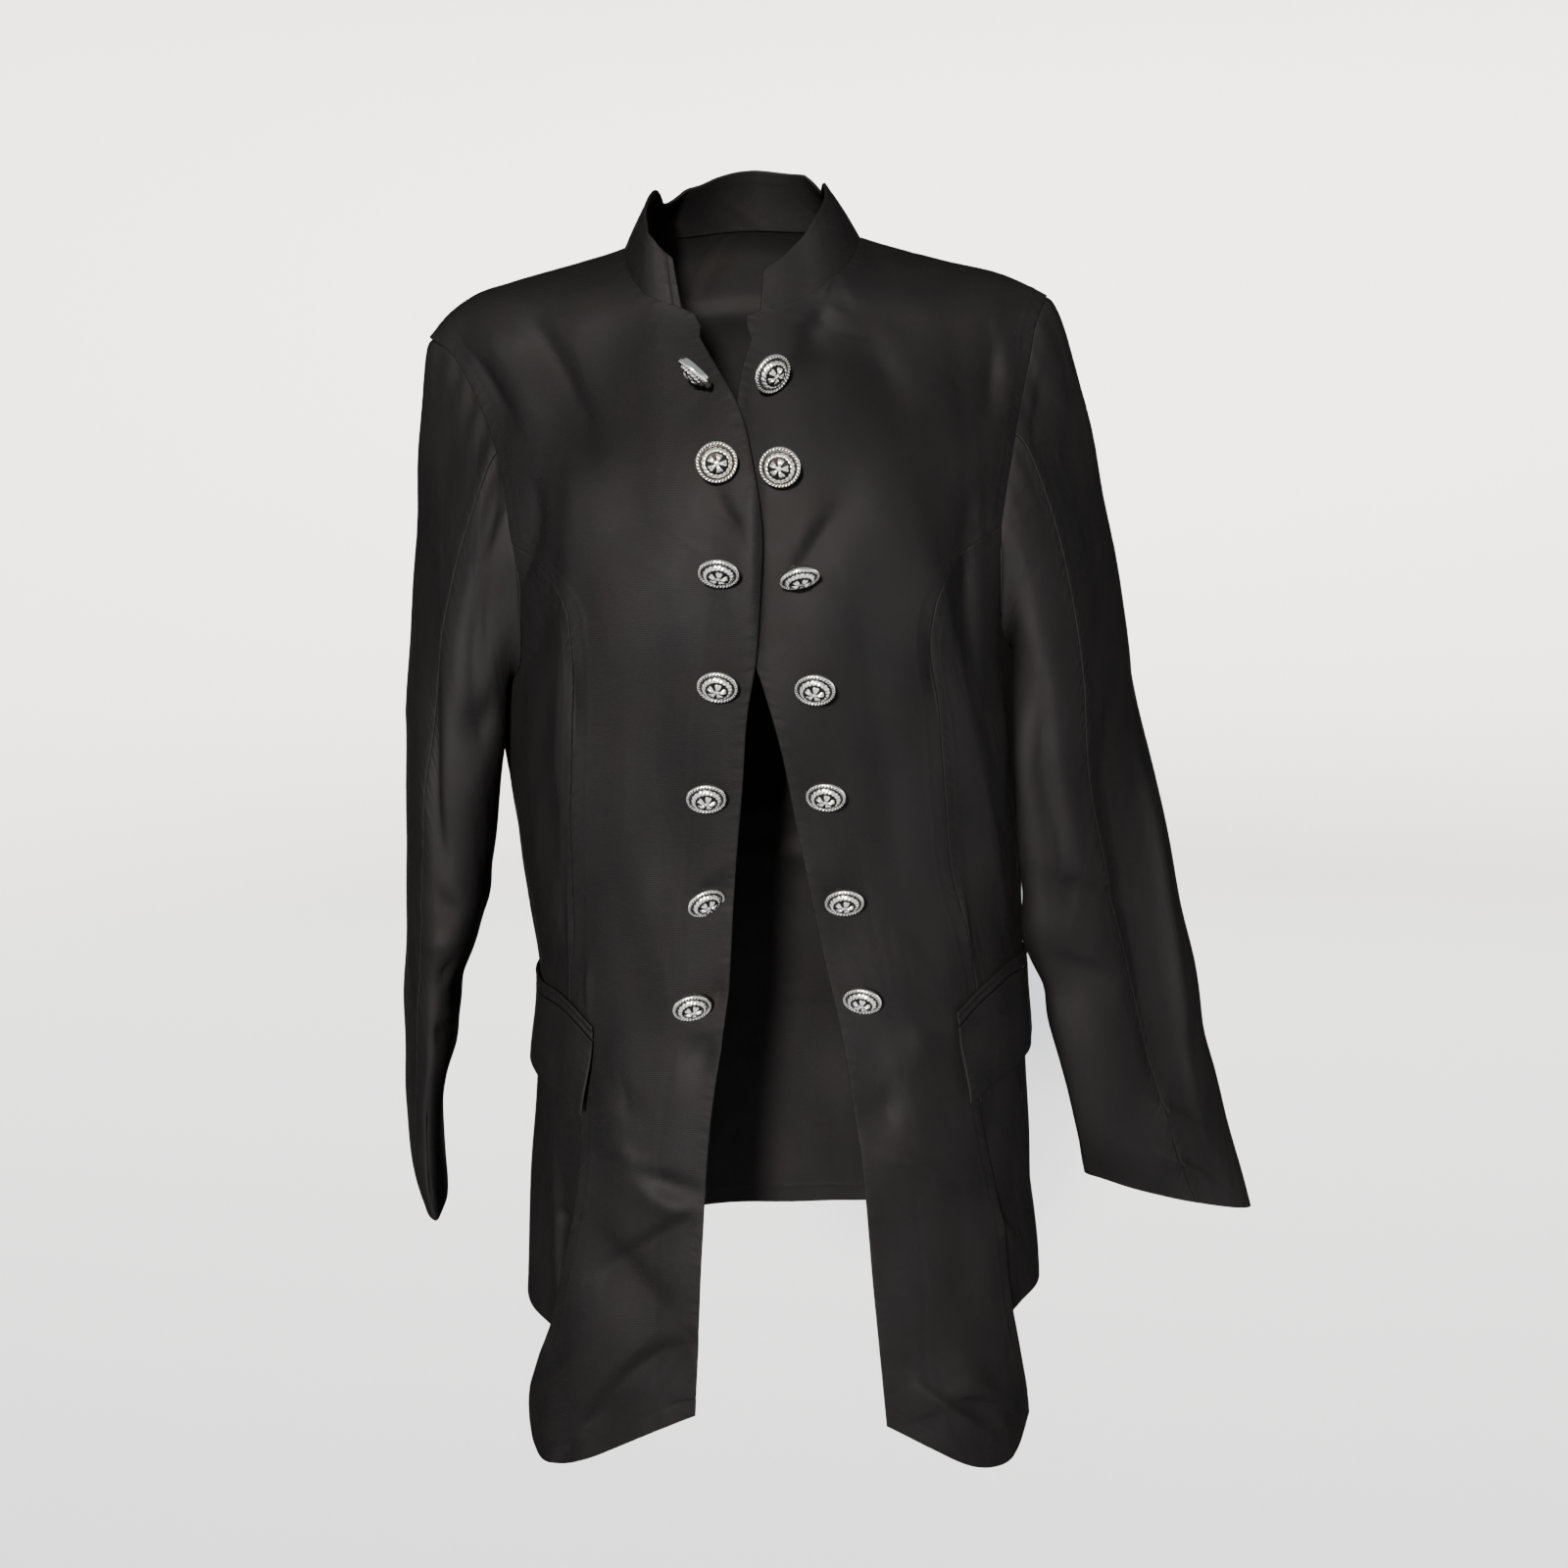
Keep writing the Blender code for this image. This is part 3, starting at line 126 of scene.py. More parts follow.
span = np.linspace(-FLOOR_REACH, FLOOR_REACH, FLOOR_POINTS)
floor_x, floor_y = np.meshgrid(span, span[::-1])
far = (np.hypot(floor_x, floor_y) - FLOOR_FLAT) / FLOOR_BEND
floor_points = np.stack([floor_x, floor_y, FLOOR_HEIGHT + WALL_HEIGHT * ease(far)], -1)
number = np.arange(FLOOR_POINTS**2).reshape(FLOOR_POINTS, FLOOR_POINTS)
floor = add_piece("studio_floor", floor_points, quads_between(number).tolist(), white_vinyl)

world = bpy.data.worlds.new("pale_sky")
world.use_nodes = True
world.node_tree.nodes["Background"].inputs["Color"].default_value = linear("#e9f1fb")
world.node_tree.nodes["Background"].inputs["Strength"].default_value = SKY_STRENGTH
bpy.context.scene.world = world


def add_light(name, kind, place, aim, strength, colour, **sizes):
    """Light of a kind at a place, turned to shine at its aim."""
    light = bpy.data.lights.new(name, kind)
    light.energy = strength
    light.color = linear(colour)[:3]
    for size, value in sizes.items():
        setattr(light, size, value)
    made = bpy.data.objects.new(name, light)
    turn = (Vector(aim) - Vector(place)).to_track_quat("-Z", "Y")
    made.matrix_world = Matrix.Translation(place) @ turn.to_matrix().to_4x4()
    bpy.context.scene.collection.objects.link(made)


add_light("key_sun", "SUN", SUN_PLACE, SUN_AIM, SUN_STRENGTH, "#fff8ef", angle=np.radians(SUN_SPREAD))
add_light("back_sun", "SUN", BACK_SUN_PLACE, SUN_AIM, BACK_SUN_STRENGTH, "#f4f7ff",
          angle=np.radians(SUN_SPREAD))
add_light("front_lamp", "AREA", LAMP_PLACE, LAMP_AIM, LAMP_POWER, "#fff6ec",
          shape="RECTANGLE", size=LAMP_WIDTH, size_y=LAMP_HEIGHT)

lens = bpy.data.cameras.new("camera")
lens.sensor_width = SENSOR_WIDTH
lens.lens = SENSOR_WIDTH * FOCAL_LENGTH / PHOTO_WIDTH
camera = bpy.data.objects.new("camera", lens)
tilt = Matrix.Rotation(np.radians(90.0 - CAMERA_PITCH), 4, "X")
roll = Matrix.Rotation(-np.radians(CAMERA_ROLL), 4, "Z")
camera.matrix_world = Matrix.Translation(CAMERA_PLACE) @ tilt @ roll
bpy.context.scene.collection.objects.link(camera)
bpy.context.scene.camera = camera

# Fronts: two panels of black suiting, each cut from the neckline and front edge to the armhole
# and to a curved seam at the side of the bust. Both are pressed flat, faced along the front edge
# and hemmed; the wearer's right one lies over the left one at the bust.
SIDES = {"left": 1.0, "right": -1.0}
MM = 0.001

# Sections of the worn form at each drop. Columns named in mm are turned to metres when read.
FORM_NAMES = ("drop_mm", "half_width_mm", "middle_mm", "front_mm", "back_mm", "square_front", "square_back")
FORM_ROWS = (
    (0, 212, -5.5, 52, 60, 1.5, 2.2), (50, 207, -3, 72, 76, 1.5, 2.3),
    (100, 200, -1, 100, 90, 1.62, 2.5), (145, 193, 0, 126, 100, 1.72, 2.6),
    (190, 185, 0, 140, 104, 1.82, 2.6), (235, 178, 0, 144, 104, 1.95, 2.5),
    (285, 175, 0, 141, 100, 2.05, 2.4), (340, 176.5, 0.5, 134, 93, 2.1, 2.3),
    (390, 174.5, 2, 129, 87, 2.1, 2.2), (440, 170, 4.5, 128, 86, 2.1, 2.2),
    (490, 167, 6, 130, 91, 2.15, 2.2), (560, 171, 4.5, 137, 104, 2.25, 2.2),
    (640, 177, 1, 142, 116, 2.35, 2.3), (720, 184, -1, 144, 122, 2.45, 2.3),
    (840, 189, -2, 144, 124, 2.5, 2.3),
)
SHOULDER_NAMES = ("x_mm", "fall_mm")
SHOULDER_ROWS = {
    "left": (
        (55, 0), (76, 8), (130, 24.5), (170, 35.5), (197, 49), (215, 60),
    ),
    "right": (
        (55, 0), (76, 9), (110, 18), (150, 27.5), (176.5, 35.5), (194, 47), (207, 60.5), (220, 72),
    ),
}
SHOULDER_TIP = {"left": 0.197, "right": 0.207}
SHOULDER_REACH = 0.22
SHOULDER_ROUND = 0.045
NAPE_LIFT = 0.036
NAPE_REACH = 0.13
NAPE_START = 0.024

# Lines that the fronts are cut to, as the x of each at a drop.
LINE_NAMES = ("drop_mm", "x_mm")
EDGE_ROWS = {
    "left": (
        (0, 76), (20, 67), (34, 55), (46.5, 37), (51, 24), (54, 10), (70, 4), (90, -3), (110, -6.5),
        (150, -9), (212, -8), (255, -4), (276, 2), (310, 10.5), (377, 21.5), (435, 31), (519, 46),
        (570, 52), (683, 59), (774, 65),
    ),
    "right": (
        (0, 76), (14, 73), (30, 66), (42, 57), (47, 48), (50, 38.5), (70, 27), (90, 16.5), (110, 6),
        (150, -3), (182, -6.5), (225, -3.5), (264, 1), (290, 6.5), (339, 12), (400, 19.5), (467, 26),
        (570, 43.5), (683, 54.5), (760, 61),
    ),
}
COLLAR_END_DROP = {"left": 0.054, "right": 0.050}
EDGE_HEM_DROP = {"left": 0.774, "right": 0.760}
ARMHOLE_ROWS = {
    "left": (
        (0, 197), (23, 188), (53, 183), (80, 178), (110, 172), (155, 164), (190, 158),
    ),
    "right": (
        (0, 207), (24, 194), (58, 181), (95, 169), (130, 160), (165, 155), (190, 153.5),
    ),
}
PANEL_SEAM_ROWS = {
    "left": (
        (190, 158), (200, 140), (212, 123), (228, 110), (246, 105), (300, 110), (360, 113),
        (411, 117.5), (450, 126), (484, 134), (520, 136), (560, 134.5), (611, 142), (664, 149),
        (718, 155), (750, 160), (785, 167), (822, 169),
    ),
    "right": (
        (190, 153.5), (200, 139), (212, 124), (228, 113.5), (246, 111), (300, 113), (360, 118),
        (411, 122.5), (450, 126.5), (484, 132.5), (520, 133.5), (560, 130), (611, 133.5), (664, 146),
        (718, 160), (750, 171.5), (785, 183), (812, 186),
    ),
}
SEAM_HEM_DROP = {"left": 0.803, "right": 0.800}
SLIT_TOP = 0.560
HEM_NAMES = ("share", "sag_mm")
HEM_ROWS = {
    "left": (
        (0, 0), (0.2, 15), (0.45, 30), (0.6, 32), (0.75, 28), (0.9, 16), (1, 0),
    ),
    "right": (
        (0, 0), (0.2, 14), (0.45, 29), (0.7, 34), (0.85, 29), (0.94, 18), (1, 0),
    ),
}

# The sharp fold outside each panel seam, where the front turns to the side.
RIDGE_NAMES = ("drop_mm", "angle", "height_mm")
RIDGE_ROWS = {
    "left": (
        (150, 34, 0), (200, 37, 4), (250, 42, 7), (360, 50, 8), (413, 56, 7), (445, 61, 4),
        (475, 66, 0),
    ),
    "right": (
        (100, 36, 0), (160, 38, 4.5), (225, 40.5, 7), (316, 43.5, 8), (367, 44.5, 7.5), (398, 48, 7),
        (430, 55, 4.5), (465, 62, 0),
    ),
}
RIDGE_INNER_WIDTH = 0.026
RIDGE_OUTER_WIDTH = 0.013
RIDGE_SHARP = 0.2

# Drops of matching rows at the armhole and seam, and at the front edge.
ARMHOLE_STEPS = (0.0, 0.005, 0.020, 0.050, 0.085, 0.120, 0.155, 0.190)
SEAM_STEPS = (0.202, 0.218, 0.240, 0.268, 0.300, 0.330, 0.360, 0.390, 0.420, 0.450, 0.480, 0.510, 0.560)
FRONT_LOW_ROWS = 9
NECKLINE_ROWS = 4
EDGE_MATCH_NAMES = ("seam_mm", "edge_mm")
EDGE_MATCH_ROWS = (
    (65, 54), (130, 110), (190, 170), (246, 238), (360, 358), (560, 548),
)
LAP_NAMES = ("drop_mm", "lift_mm")
LAP_ROWS = (
    (60, 0), (105, 3.5), (150, 4), (260, 4), (320, 1), (380, 0),
)
LAP_REACH = 14.0

# Folds of the body. Each is a curve from its start by its middle to its end, so high or deep, so
# wide, and the more pointed the smaller its power. Those not seen in the photo follow the others.
FOLD_NAMES = ("angle_1", "drop_1_mm", "angle_2", "drop_2_mm", "angle_3", "drop_3_mm", "height_mm",
              "width_mm", "power")
FOLD_ROWS = (
    # Broad ones, which the solids have too.
    (68, 210, 66, 300, 76, 420, -5, 26, 2),
    (-62, 200, -60, 300, -72, 420, -5, 26, 2),
    (-17, 230, -22, 330, -23, 440, -4, 18, 2),
    (19, 230, 24, 320, 25, 430, -3, 20, 2),
    (-20, 690, -30, 668, -42, 640, -5.5, 20, 2),
    (-22, 755, -38, 770, -52, 808, -6, 22, 2),
    (34, 745, 42, 770, 50, 815, 5, 18, 2),
    (-40, 20, -44, 80, -30, 150, -3.5, 22, 2),
    (44, 30, 48, 80, 45, 130, -3, 20, 2),
    (158, 120, 150, 260, 160, 420, 5, 24, 2),
    (-157, 130, -149, 270, -159, 430, 5, 24, 2),
    (180, 380, 178, 430, 165, 460, -4.5, 22, 2),
    (150, 540, 152, 640, 148, 740, 7, 28, 2),
    (-148, 530, -151, 640, -147, 740, 7, 28, 2),
    (176, 560, 178, 660, 175, 740, -5, 26, 2),
    # Right front, from the shoulder down.
    (-46, 26, -39, 72, -33, 128, -5.6, 9, 1.6),
    (-60, 42, -55.5, 76, -50.5, 106, -5.7, 10, 1.6),
    (-47, 150, -45, 182, -59, 222, -5.1, 8, 1.4),
    (-45.5, 234, -52, 252, -60.5, 268, -5, 8, 1.5),
    (-38.5, 262, -39, 286, -39, 308, -2.2, 3.5, 1.3),
    (-45.5, 398, -50.5, 438, -55, 480, 1.9, 3, 1.3),
    (-46, 458, -47.5, 478, -48, 498, 1.9, 3, 1.3),
    (-38, 540, -34.5, 548, -30, 554, -3.7, 6, 1.4),
    (-37, 578, -30, 588, -24, 594, 3.7, 6, 1.4),
    (-31.5, 586, -22.5, 602, -13.5, 604, -4.3, 7, 1.4),
    (-31, 598, -22, 616, -13, 619, 3.9, 7, 1.5),
    (-14, 616, -24, 638, -42, 674, -5.3, 9, 1.5),
    (-16, 710, -27, 722, -42, 780, -7.4, 12, 1.6),
    (-48, 796, -51, 806, -54, 816, -2.5, 4, 1.3),
    (-9.5, 158, -6, 170, -3, 184, -3.1, 5, 1.4),
    (-15.5, 414, -11, 406, -7, 398, -3.1, 5, 1.4),
    (-14.5, 480, -12.5, 474, -10, 468, -3.1, 5, 1.4),
    (-21, 510, -16.5, 512, -12, 514, -5.3, 9, 1.8),
    # Left front, from the shoulder down.
    (56, 50, 57, 82, 53, 110, -5.6, 9, 1.6),
    (28, 58, 31.5, 80, 33, 112, -3.6, 14, 2),
    (21, 52, 19, 70, 14, 86, -5.6, 9, 1.7),
    (4.5, 148, 3, 208, 1.5, 270, -4.8, 10, 1.8),
    (8.5, 214, 13.5, 190, 20.5, 166, -4.3, 7, 1.5),
    (48.5, 168, 49, 228, 48.5, 282, -5.3, 10, 1.8),
    (35.5, 246, 36.5, 274, 37.5, 300, -2.2, 3.5, 1.3),
    (43, 414, 45, 452, 47, 474, 1.9, 3, 1.3),
    (21.5, 524, 29, 514, 42.5, 508, 3.7, 6, 1.4),
    (20.5, 542, 21.5, 554, 20, 568, -3.9, 9, 1.8),
    (14.5, 576, 24, 590, 34, 608, 3.1, 5, 1.3),
    (30.5, 604, 38.5, 610, 49, 618, 2.8, 4.5, 1.3),
    (22, 742, 28, 762, 41.5, 794, 5, 8, 1.5),
    (28.5, 768, 36, 762, 49, 786, -5.7, 10, 1.6),
    # Sides, under the arms and below the pockets.
    (-62.5, 612, -61.5, 662, -58.5, 710, 3.7, 6, 1.4),
    (-63, 640, -57, 642, -52.5, 646, -3.7, 6, 1.4),
    (52.5, 648, 58.5, 664, 68.5, 682, 3.7, 6, 1.4),
    (88, 300, 83, 360, 90, 430, -4.8, 9, 1.5),
    (-88, 310, -82, 370, -90, 440, -4.8, 9, 1.5),
    # Back, as like cloth falls from the shoulder blades and breaks at the waist.
    (120, 60, 132, 110, 140, 180, -6.3, 11, 1.6),
    (-121, 55, -131, 105, -142, 170, -5.7, 10, 1.6),
    (165, 70, 180, 80, 196, 68, -3.6, 7, 1.5),
    (112, 300, 124, 330, 140, 335, -5.6, 9, 1.5),
    (-112, 290, -124, 325, -140, 330, -5.6, 9, 1.5),
    (170, 395, 183, 405, 200, 398, -5.6, 9, 1.4),
    (158, 425, 172, 440, 190, 432, -4.3, 7, 1.4),
    (120, 420, 131, 440, 146, 436, -4.8, 8, 1.5),
    (-122, 430, -134, 446, -148, 440, -4.8, 8, 1.5),
    (140, 520, 143, 600, 138, 690, 5.7, 12, 1.8),
    (-138, 540, -143, 620, -139, 700, 5.7, 12, 1.8),
    (168, 600, 170, 660, 166, 720, -5.3, 12, 1.8),
    (105, 560, 110, 630, 104, 700, -6.3, 14, 1.8),
    (-104, 550, -109, 620, -103, 700, -6.3, 14, 1.8),
)
METRES_PER_DEGREE = 0.0025
FOLD_START = 0.030
FOLD_POINTS = 25
FOLD_CUT = 4.5
FOLD_SKEW = (1.45, 0.6)

# Slow unevenness of worn cloth: waves round the body, waves in each metre down, phase and height.
WAVE_ROWS = ((7, 3.1, 0.3, 0.0007), (-11, 5.3, 1.7, 0.0005), (17, 7.9, 4.1, 0.0003),
             (5, 9.5, 2.2, 0.0004), (-23, 2.1, 5.0, 0.0003))
STEP_ANGLE = 0.4
STEP_DROP = 0.0008
CROWDING = 0.93
LIP = 0.0011
PANEL_WALL = 0.0013
FRONT_ROWS = 250
FRONT_COLUMNS = 88

# Lines pressed through the cloth: distance from its side, height and width, on each front.
SEAM_ALLOWANCE = 0.0105
FACING_WIDTH = {"left": 0.036, "right": 0.033}
HEM_DEPTH = 0.0145
MARK_HEIGHT = 0.00022
MARK_WIDTH = 0.0016


def read(rows, names):
    """Give one array for each named column of a short table, with millimetres turned to metres."""
    return {name.removesuffix("_mm"): np.array(column, float) * (MM if name.endswith("_mm") else 1.0)
            for name, column in zip(names, zip(*rows))}


def read_sides(rows, names):
    """The same for a table with rows for each side."""
    return {side: read(rows[side], names) for side in SIDES}


def smooth(value, knots, heights):
    """Cubic curve through the knots, whose slopes are those of their neighbours; flat past the ends."""
    value = np.clip(np.asarray(value, float), knots[0], knots[-1])
    slopes = np.gradient(heights, knots)
    index = np.clip(np.searchsorted(knots, value) - 1, 0, len(knots) - 2)
    span = knots[index + 1] - knots[index]
    t = (value - knots[index]) / span
    start = (2 * t**3 - 3 * t**2 + 1) * heights[index] + (t**3 - 2 * t**2 + t) * span * slopes[index]
    end = (3 * t**2 - 2 * t**3) * heights[index + 1] + (t**3 - t**2) * span * slopes[index + 1]
    return start + end


FORM = read(FORM_ROWS, FORM_NAMES)
SHOULDER = read_sides(SHOULDER_ROWS, SHOULDER_NAMES)
EDGE = read_sides(EDGE_ROWS, LINE_NAMES)
ARMHOLE = read_sides(ARMHOLE_ROWS, LINE_NAMES)
PANEL_SEAM = read_sides(PANEL_SEAM_ROWS, LINE_NAMES)
EDGE_MATCH = read(EDGE_MATCH_ROWS, EDGE_MATCH_NAMES)
LAP = read(LAP_ROWS, LAP_NAMES)
HEM = read_sides(HEM_ROWS, HEM_NAMES)
RIDGE = read_sides(RIDGE_ROWS, RIDGE_NAMES)


def form_size(name, drop):
    """Size of the worn form at a drop below the shoulder line."""
    return smooth(drop, FORM["drop"], FORM[name])


def shoulder_fall(x):
    """Height lost along the shoulder seam on the side of x."""
    left = smooth(np.abs(x), SHOULDER["left"]["x"], SHOULDER["left"]["fall"])
    right = smooth(np.abs(x), SHOULDER["right"]["x"], SHOULDER["right"]["fall"])
    return np.where(x > 0.0, left, right)


def bare_form(angle, drop):
    """Worn form without folds: a squared ellipse at each drop, bent down along the shoulders."""
    turn = np.radians(angle)
    at_front = np.cos(turn) > 0.0
    power = 2.0 / np.where(at_front, form_size("square_front", drop), form_size("square_back", drop))
    across = np.sign(np.sin(turn)) * np.abs(np.sin(turn)) ** power
    along = np.sign(np.cos(turn)) * np.abs(np.cos(turn)) ** power
    x = form_size("middle", drop) + form_size("half_width", drop) * across
    shoulder = np.sqrt(np.clip(1.0 - np.clip(1.0 - drop / SHOULDER_ROUND, 0.0, 1.0) ** 2, 0.0, 1.0))
    depth = np.where(along > 0.0, form_size("front", drop), form_size("back", drop)) * shoulder
    fade = 1.0 - ease(drop / SHOULDER_REACH)
    nape = NAPE_LIFT * np.clip(1.0 - (x / NAPE_REACH) ** 2, 0.0, 1.0) ** 2 * fade
    nape = nape * ease(-along * 2.0) * ease(drop / NAPE_START)
    return np.stack([x, -depth * along, -drop - shoulder_fall(x) * fade + nape], axis=-1)


def angle_at(x, drop, square="square_front"):
    """Angle from the middle of the front, or of the back, where the form reaches x."""
    ratio = np.clip((x - form_size("middle", drop)) / form_size("half_width", drop), -0.9999, 0.9999)
    return np.degrees(np.arcsin(np.sign(ratio) * np.abs(ratio) ** (form_size(square, drop) / 2.0)))


def ridge_height(angle, drop):
    """Height of the two sharp folds: a gentle rise from the front, a steep fall to the side."""
    total = np.zeros(angle.shape)
    for side, sign in SIDES.items():
        row = RIDGE[side]
        aside = (angle * sign - smooth(drop, row["drop"], row["angle"])) * METRES_PER_DEGREE
        width = np.where(aside > 0.0, RIDGE_OUTER_WIDTH, RIDGE_INNER_WIDTH)
        height = smooth(drop, row["drop"], row["height"])
        total = total + height * np.exp(RIDGE_SHARP - np.sqrt((aside / width) ** 2 + RIDGE_SHARP**2))
    return total


def crease_height(rows, angle, drop, metres_per_degree):
    """Sum of the folds of a table: exp of minus (distance over width) to the power, fading at both ends.

    The distance is taken at right angles to the nearest stretch of the fold's curve, which is a
    parabola drawn by its start, middle and end. A fold is wider on its lower side.
    """
    t = np.linspace(0.0, 1.0, FOLD_POINTS)
    blend = np.stack([(1 - t) ** 2, 2 * t * (1 - t), t**2], -1)
    total = np.zeros(angle.shape)
    for row in rows:
        fold = dict(zip(FOLD_NAMES, row))
        curve = blend @ (np.array(row[:6]).reshape(3, 2) * (metres_per_degree, MM))
        turn = (angle - fold["angle_2"] + 180.0) % 360.0 - 180.0 + fold["angle_2"]
        place = np.stack([turn * metres_per_degree, drop], -1)
        reach = fold["width_mm"] * MM * FOLD_CUT
        near = np.all((place > curve.min(axis=0) - reach) & (place < curve.max(axis=0) + reach), axis=-1)
        gap = place[near][:, None] - curve
        nearest = np.argmin((gap**2).sum(axis=-1), axis=1)
        speed = np.gradient(curve, t, axis=0)
        pace = np.linalg.norm(speed, axis=-1)
        offset = gap[np.arange(len(gap)), nearest]
        heading = (speed / pace[:, None])[nearest]
        along = (offset * heading).sum(axis=-1)
        share = t[nearest] + along / pace[nearest]
        beside = (offset[:, 1] * heading[:, 0] - offset[:, 0] * heading[:, 1]) * np.sign(speed[0, 0] + 1e-9)
        distance = np.where((share > 0.0) & (share < 1.0), np.abs(beside), np.linalg.norm(offset, axis=-1))
        width = fold["width_mm"] * MM * np.where(beside > 0.0, *FOLD_SKEW)
        strength = 0.25 + 0.75 * np.sin(np.pi * np.clip(share, 0.0, 1.0))
        total[near] += fold["height_mm"] * MM * strength * np.exp(-((distance / width) ** fold["power"]))
    return total


def fold_height(angle, drop):
    """All that stands off the bare form: the sharp folds, the other folds and the slow waves."""
    total = ridge_height((angle + 180.0) % 360.0 - 180.0, drop)
    total = total + crease_height(FOLD_ROWS, angle, drop, METRES_PER_DEGREE)
    for turns, per_metre, phase, height in WAVE_ROWS:
        total = total + height * np.sin(turns * np.radians(angle) + per_metre * 2.0 * np.pi * drop + phase)
    return total


def outward(shape, angle, drop):
    """Unit normal of a surface of angle and drop, from its differences, pointing away from the body."""
    across = shape(angle + STEP_ANGLE, drop) - shape(angle - STEP_ANGLE, drop)
    down = shape(angle, drop + STEP_DROP) - shape(angle, np.maximum(drop - STEP_DROP, 0.0))
    normal = np.cross(down, across)
    return normal / np.linalg.norm(normal, axis=-1, keepdims=True)


def cloth(angle, drop, lift=0.0):
    """Outer face of the cloth, with its folds, moved out by lift."""
    angle, drop = np.broadcast_arrays(np.asarray(angle, float), np.asarray(drop, float))
    height = fold_height(angle, drop) * ease(drop / FOLD_START) + lift
    return bare_form(angle, drop) + outward(bare_form, angle, drop) * np.asarray(height)[..., None]


def line_angles(lines, side, drops):
    """Angles at the given drops of a line that the cloth is cut to, from its x there."""
    return angle_at(SIDES[side] * smooth(drops, lines[side]["drop"], lines[side]["x"]), drops)


def lap_lift(side, angle, drop):
    """Lift of a front near its edge where the two fronts lie one over the other."""
    reach = np.clip(1.0 - np.abs(angle - line_angles(EDGE, side, drop)) / LAP_REACH, 0.0, 1.0)
    lift = smooth(drop, LAP["drop"], LAP["lift"]) * ease(reach)
    return lift if side == "right" else -0.25 * lift


def crowd(count, corners=(), last=1.0):
    """Values from 0 to last, closer together towards both ends, with each corner among them."""
    share = np.linspace(0.0, 1.0, count)
    value = (share - CROWDING * np.sin(2.0 * np.pi * share) / (2.0 * np.pi)) * last
    for corner in corners:
        value[np.argmin(np.abs(value - corner))] = corner
    return value


def row_places(count, corners, last):
    """Places of rows in a list of steps; within the first step they stand closer to its start."""
    row = crowd(count, corners, last)
    return np.where(row < 1.0, row**2, row)


def front_steps(side, row):
    """Drops of a front's rows at its armhole and seam, and at its front edge."""
    low = np.linspace(SLIT_TOP, SEAM_HEM_DROP[side], FRONT_LOW_ROWS + 1)[1:]
    seam = np.concatenate([ARMHOLE_STEPS, SEAM_STEPS, low])
    knots = np.append(EDGE_MATCH["seam"], SEAM_HEM_DROP[side])
    edge = smooth(seam, knots, np.append(EDGE_MATCH["edge"], EDGE_HEM_DROP[side]))
    neckline = np.sin(np.linspace(0.0, 0.5 * np.pi, NECKLINE_ROWS + 1))
    edge[:NECKLINE_ROWS + 1] = COLLAR_END_DROP[side] * neckline
    places = np.arange(len(seam))
    return np.interp(row, places, seam), np.interp(row, places, edge)


def ruled(left, right, share):
    """Grid of (angle, drop) with straight rows from the left line to the right line."""
    share = np.broadcast_to(share, (len(left), np.shape(share)[-1]))[..., None]
    return left[:, None, :] * (1.0 - share) + right[:, None, :] * share


def run(points, axis):
    """Length along each line of a grid, from its start."""
    step = np.linalg.norm(np.diff(points, axis=axis), axis=-1)
    start = np.zeros_like(np.take(step, [0], axis=axis))
    return np.concatenate([start, np.cumsum(step, axis=axis)], axis=axis)


def unit(vectors):
    """Vectors divided by their lengths."""
    return vectors / np.linalg.norm(vectors, axis=-1, keepdims=True)


def seam_marks(*seams):
    """Pressed lines of a panel: the seam allowance along each of its seams, and the hem."""
    allowances = tuple((side, SEAM_ALLOWANCE, MARK_HEIGHT, MARK_WIDTH) for side in seams)
    return allowances + (("bottom", HEM_DEPTH, -MARK_HEIGHT, MARK_WIDTH),)


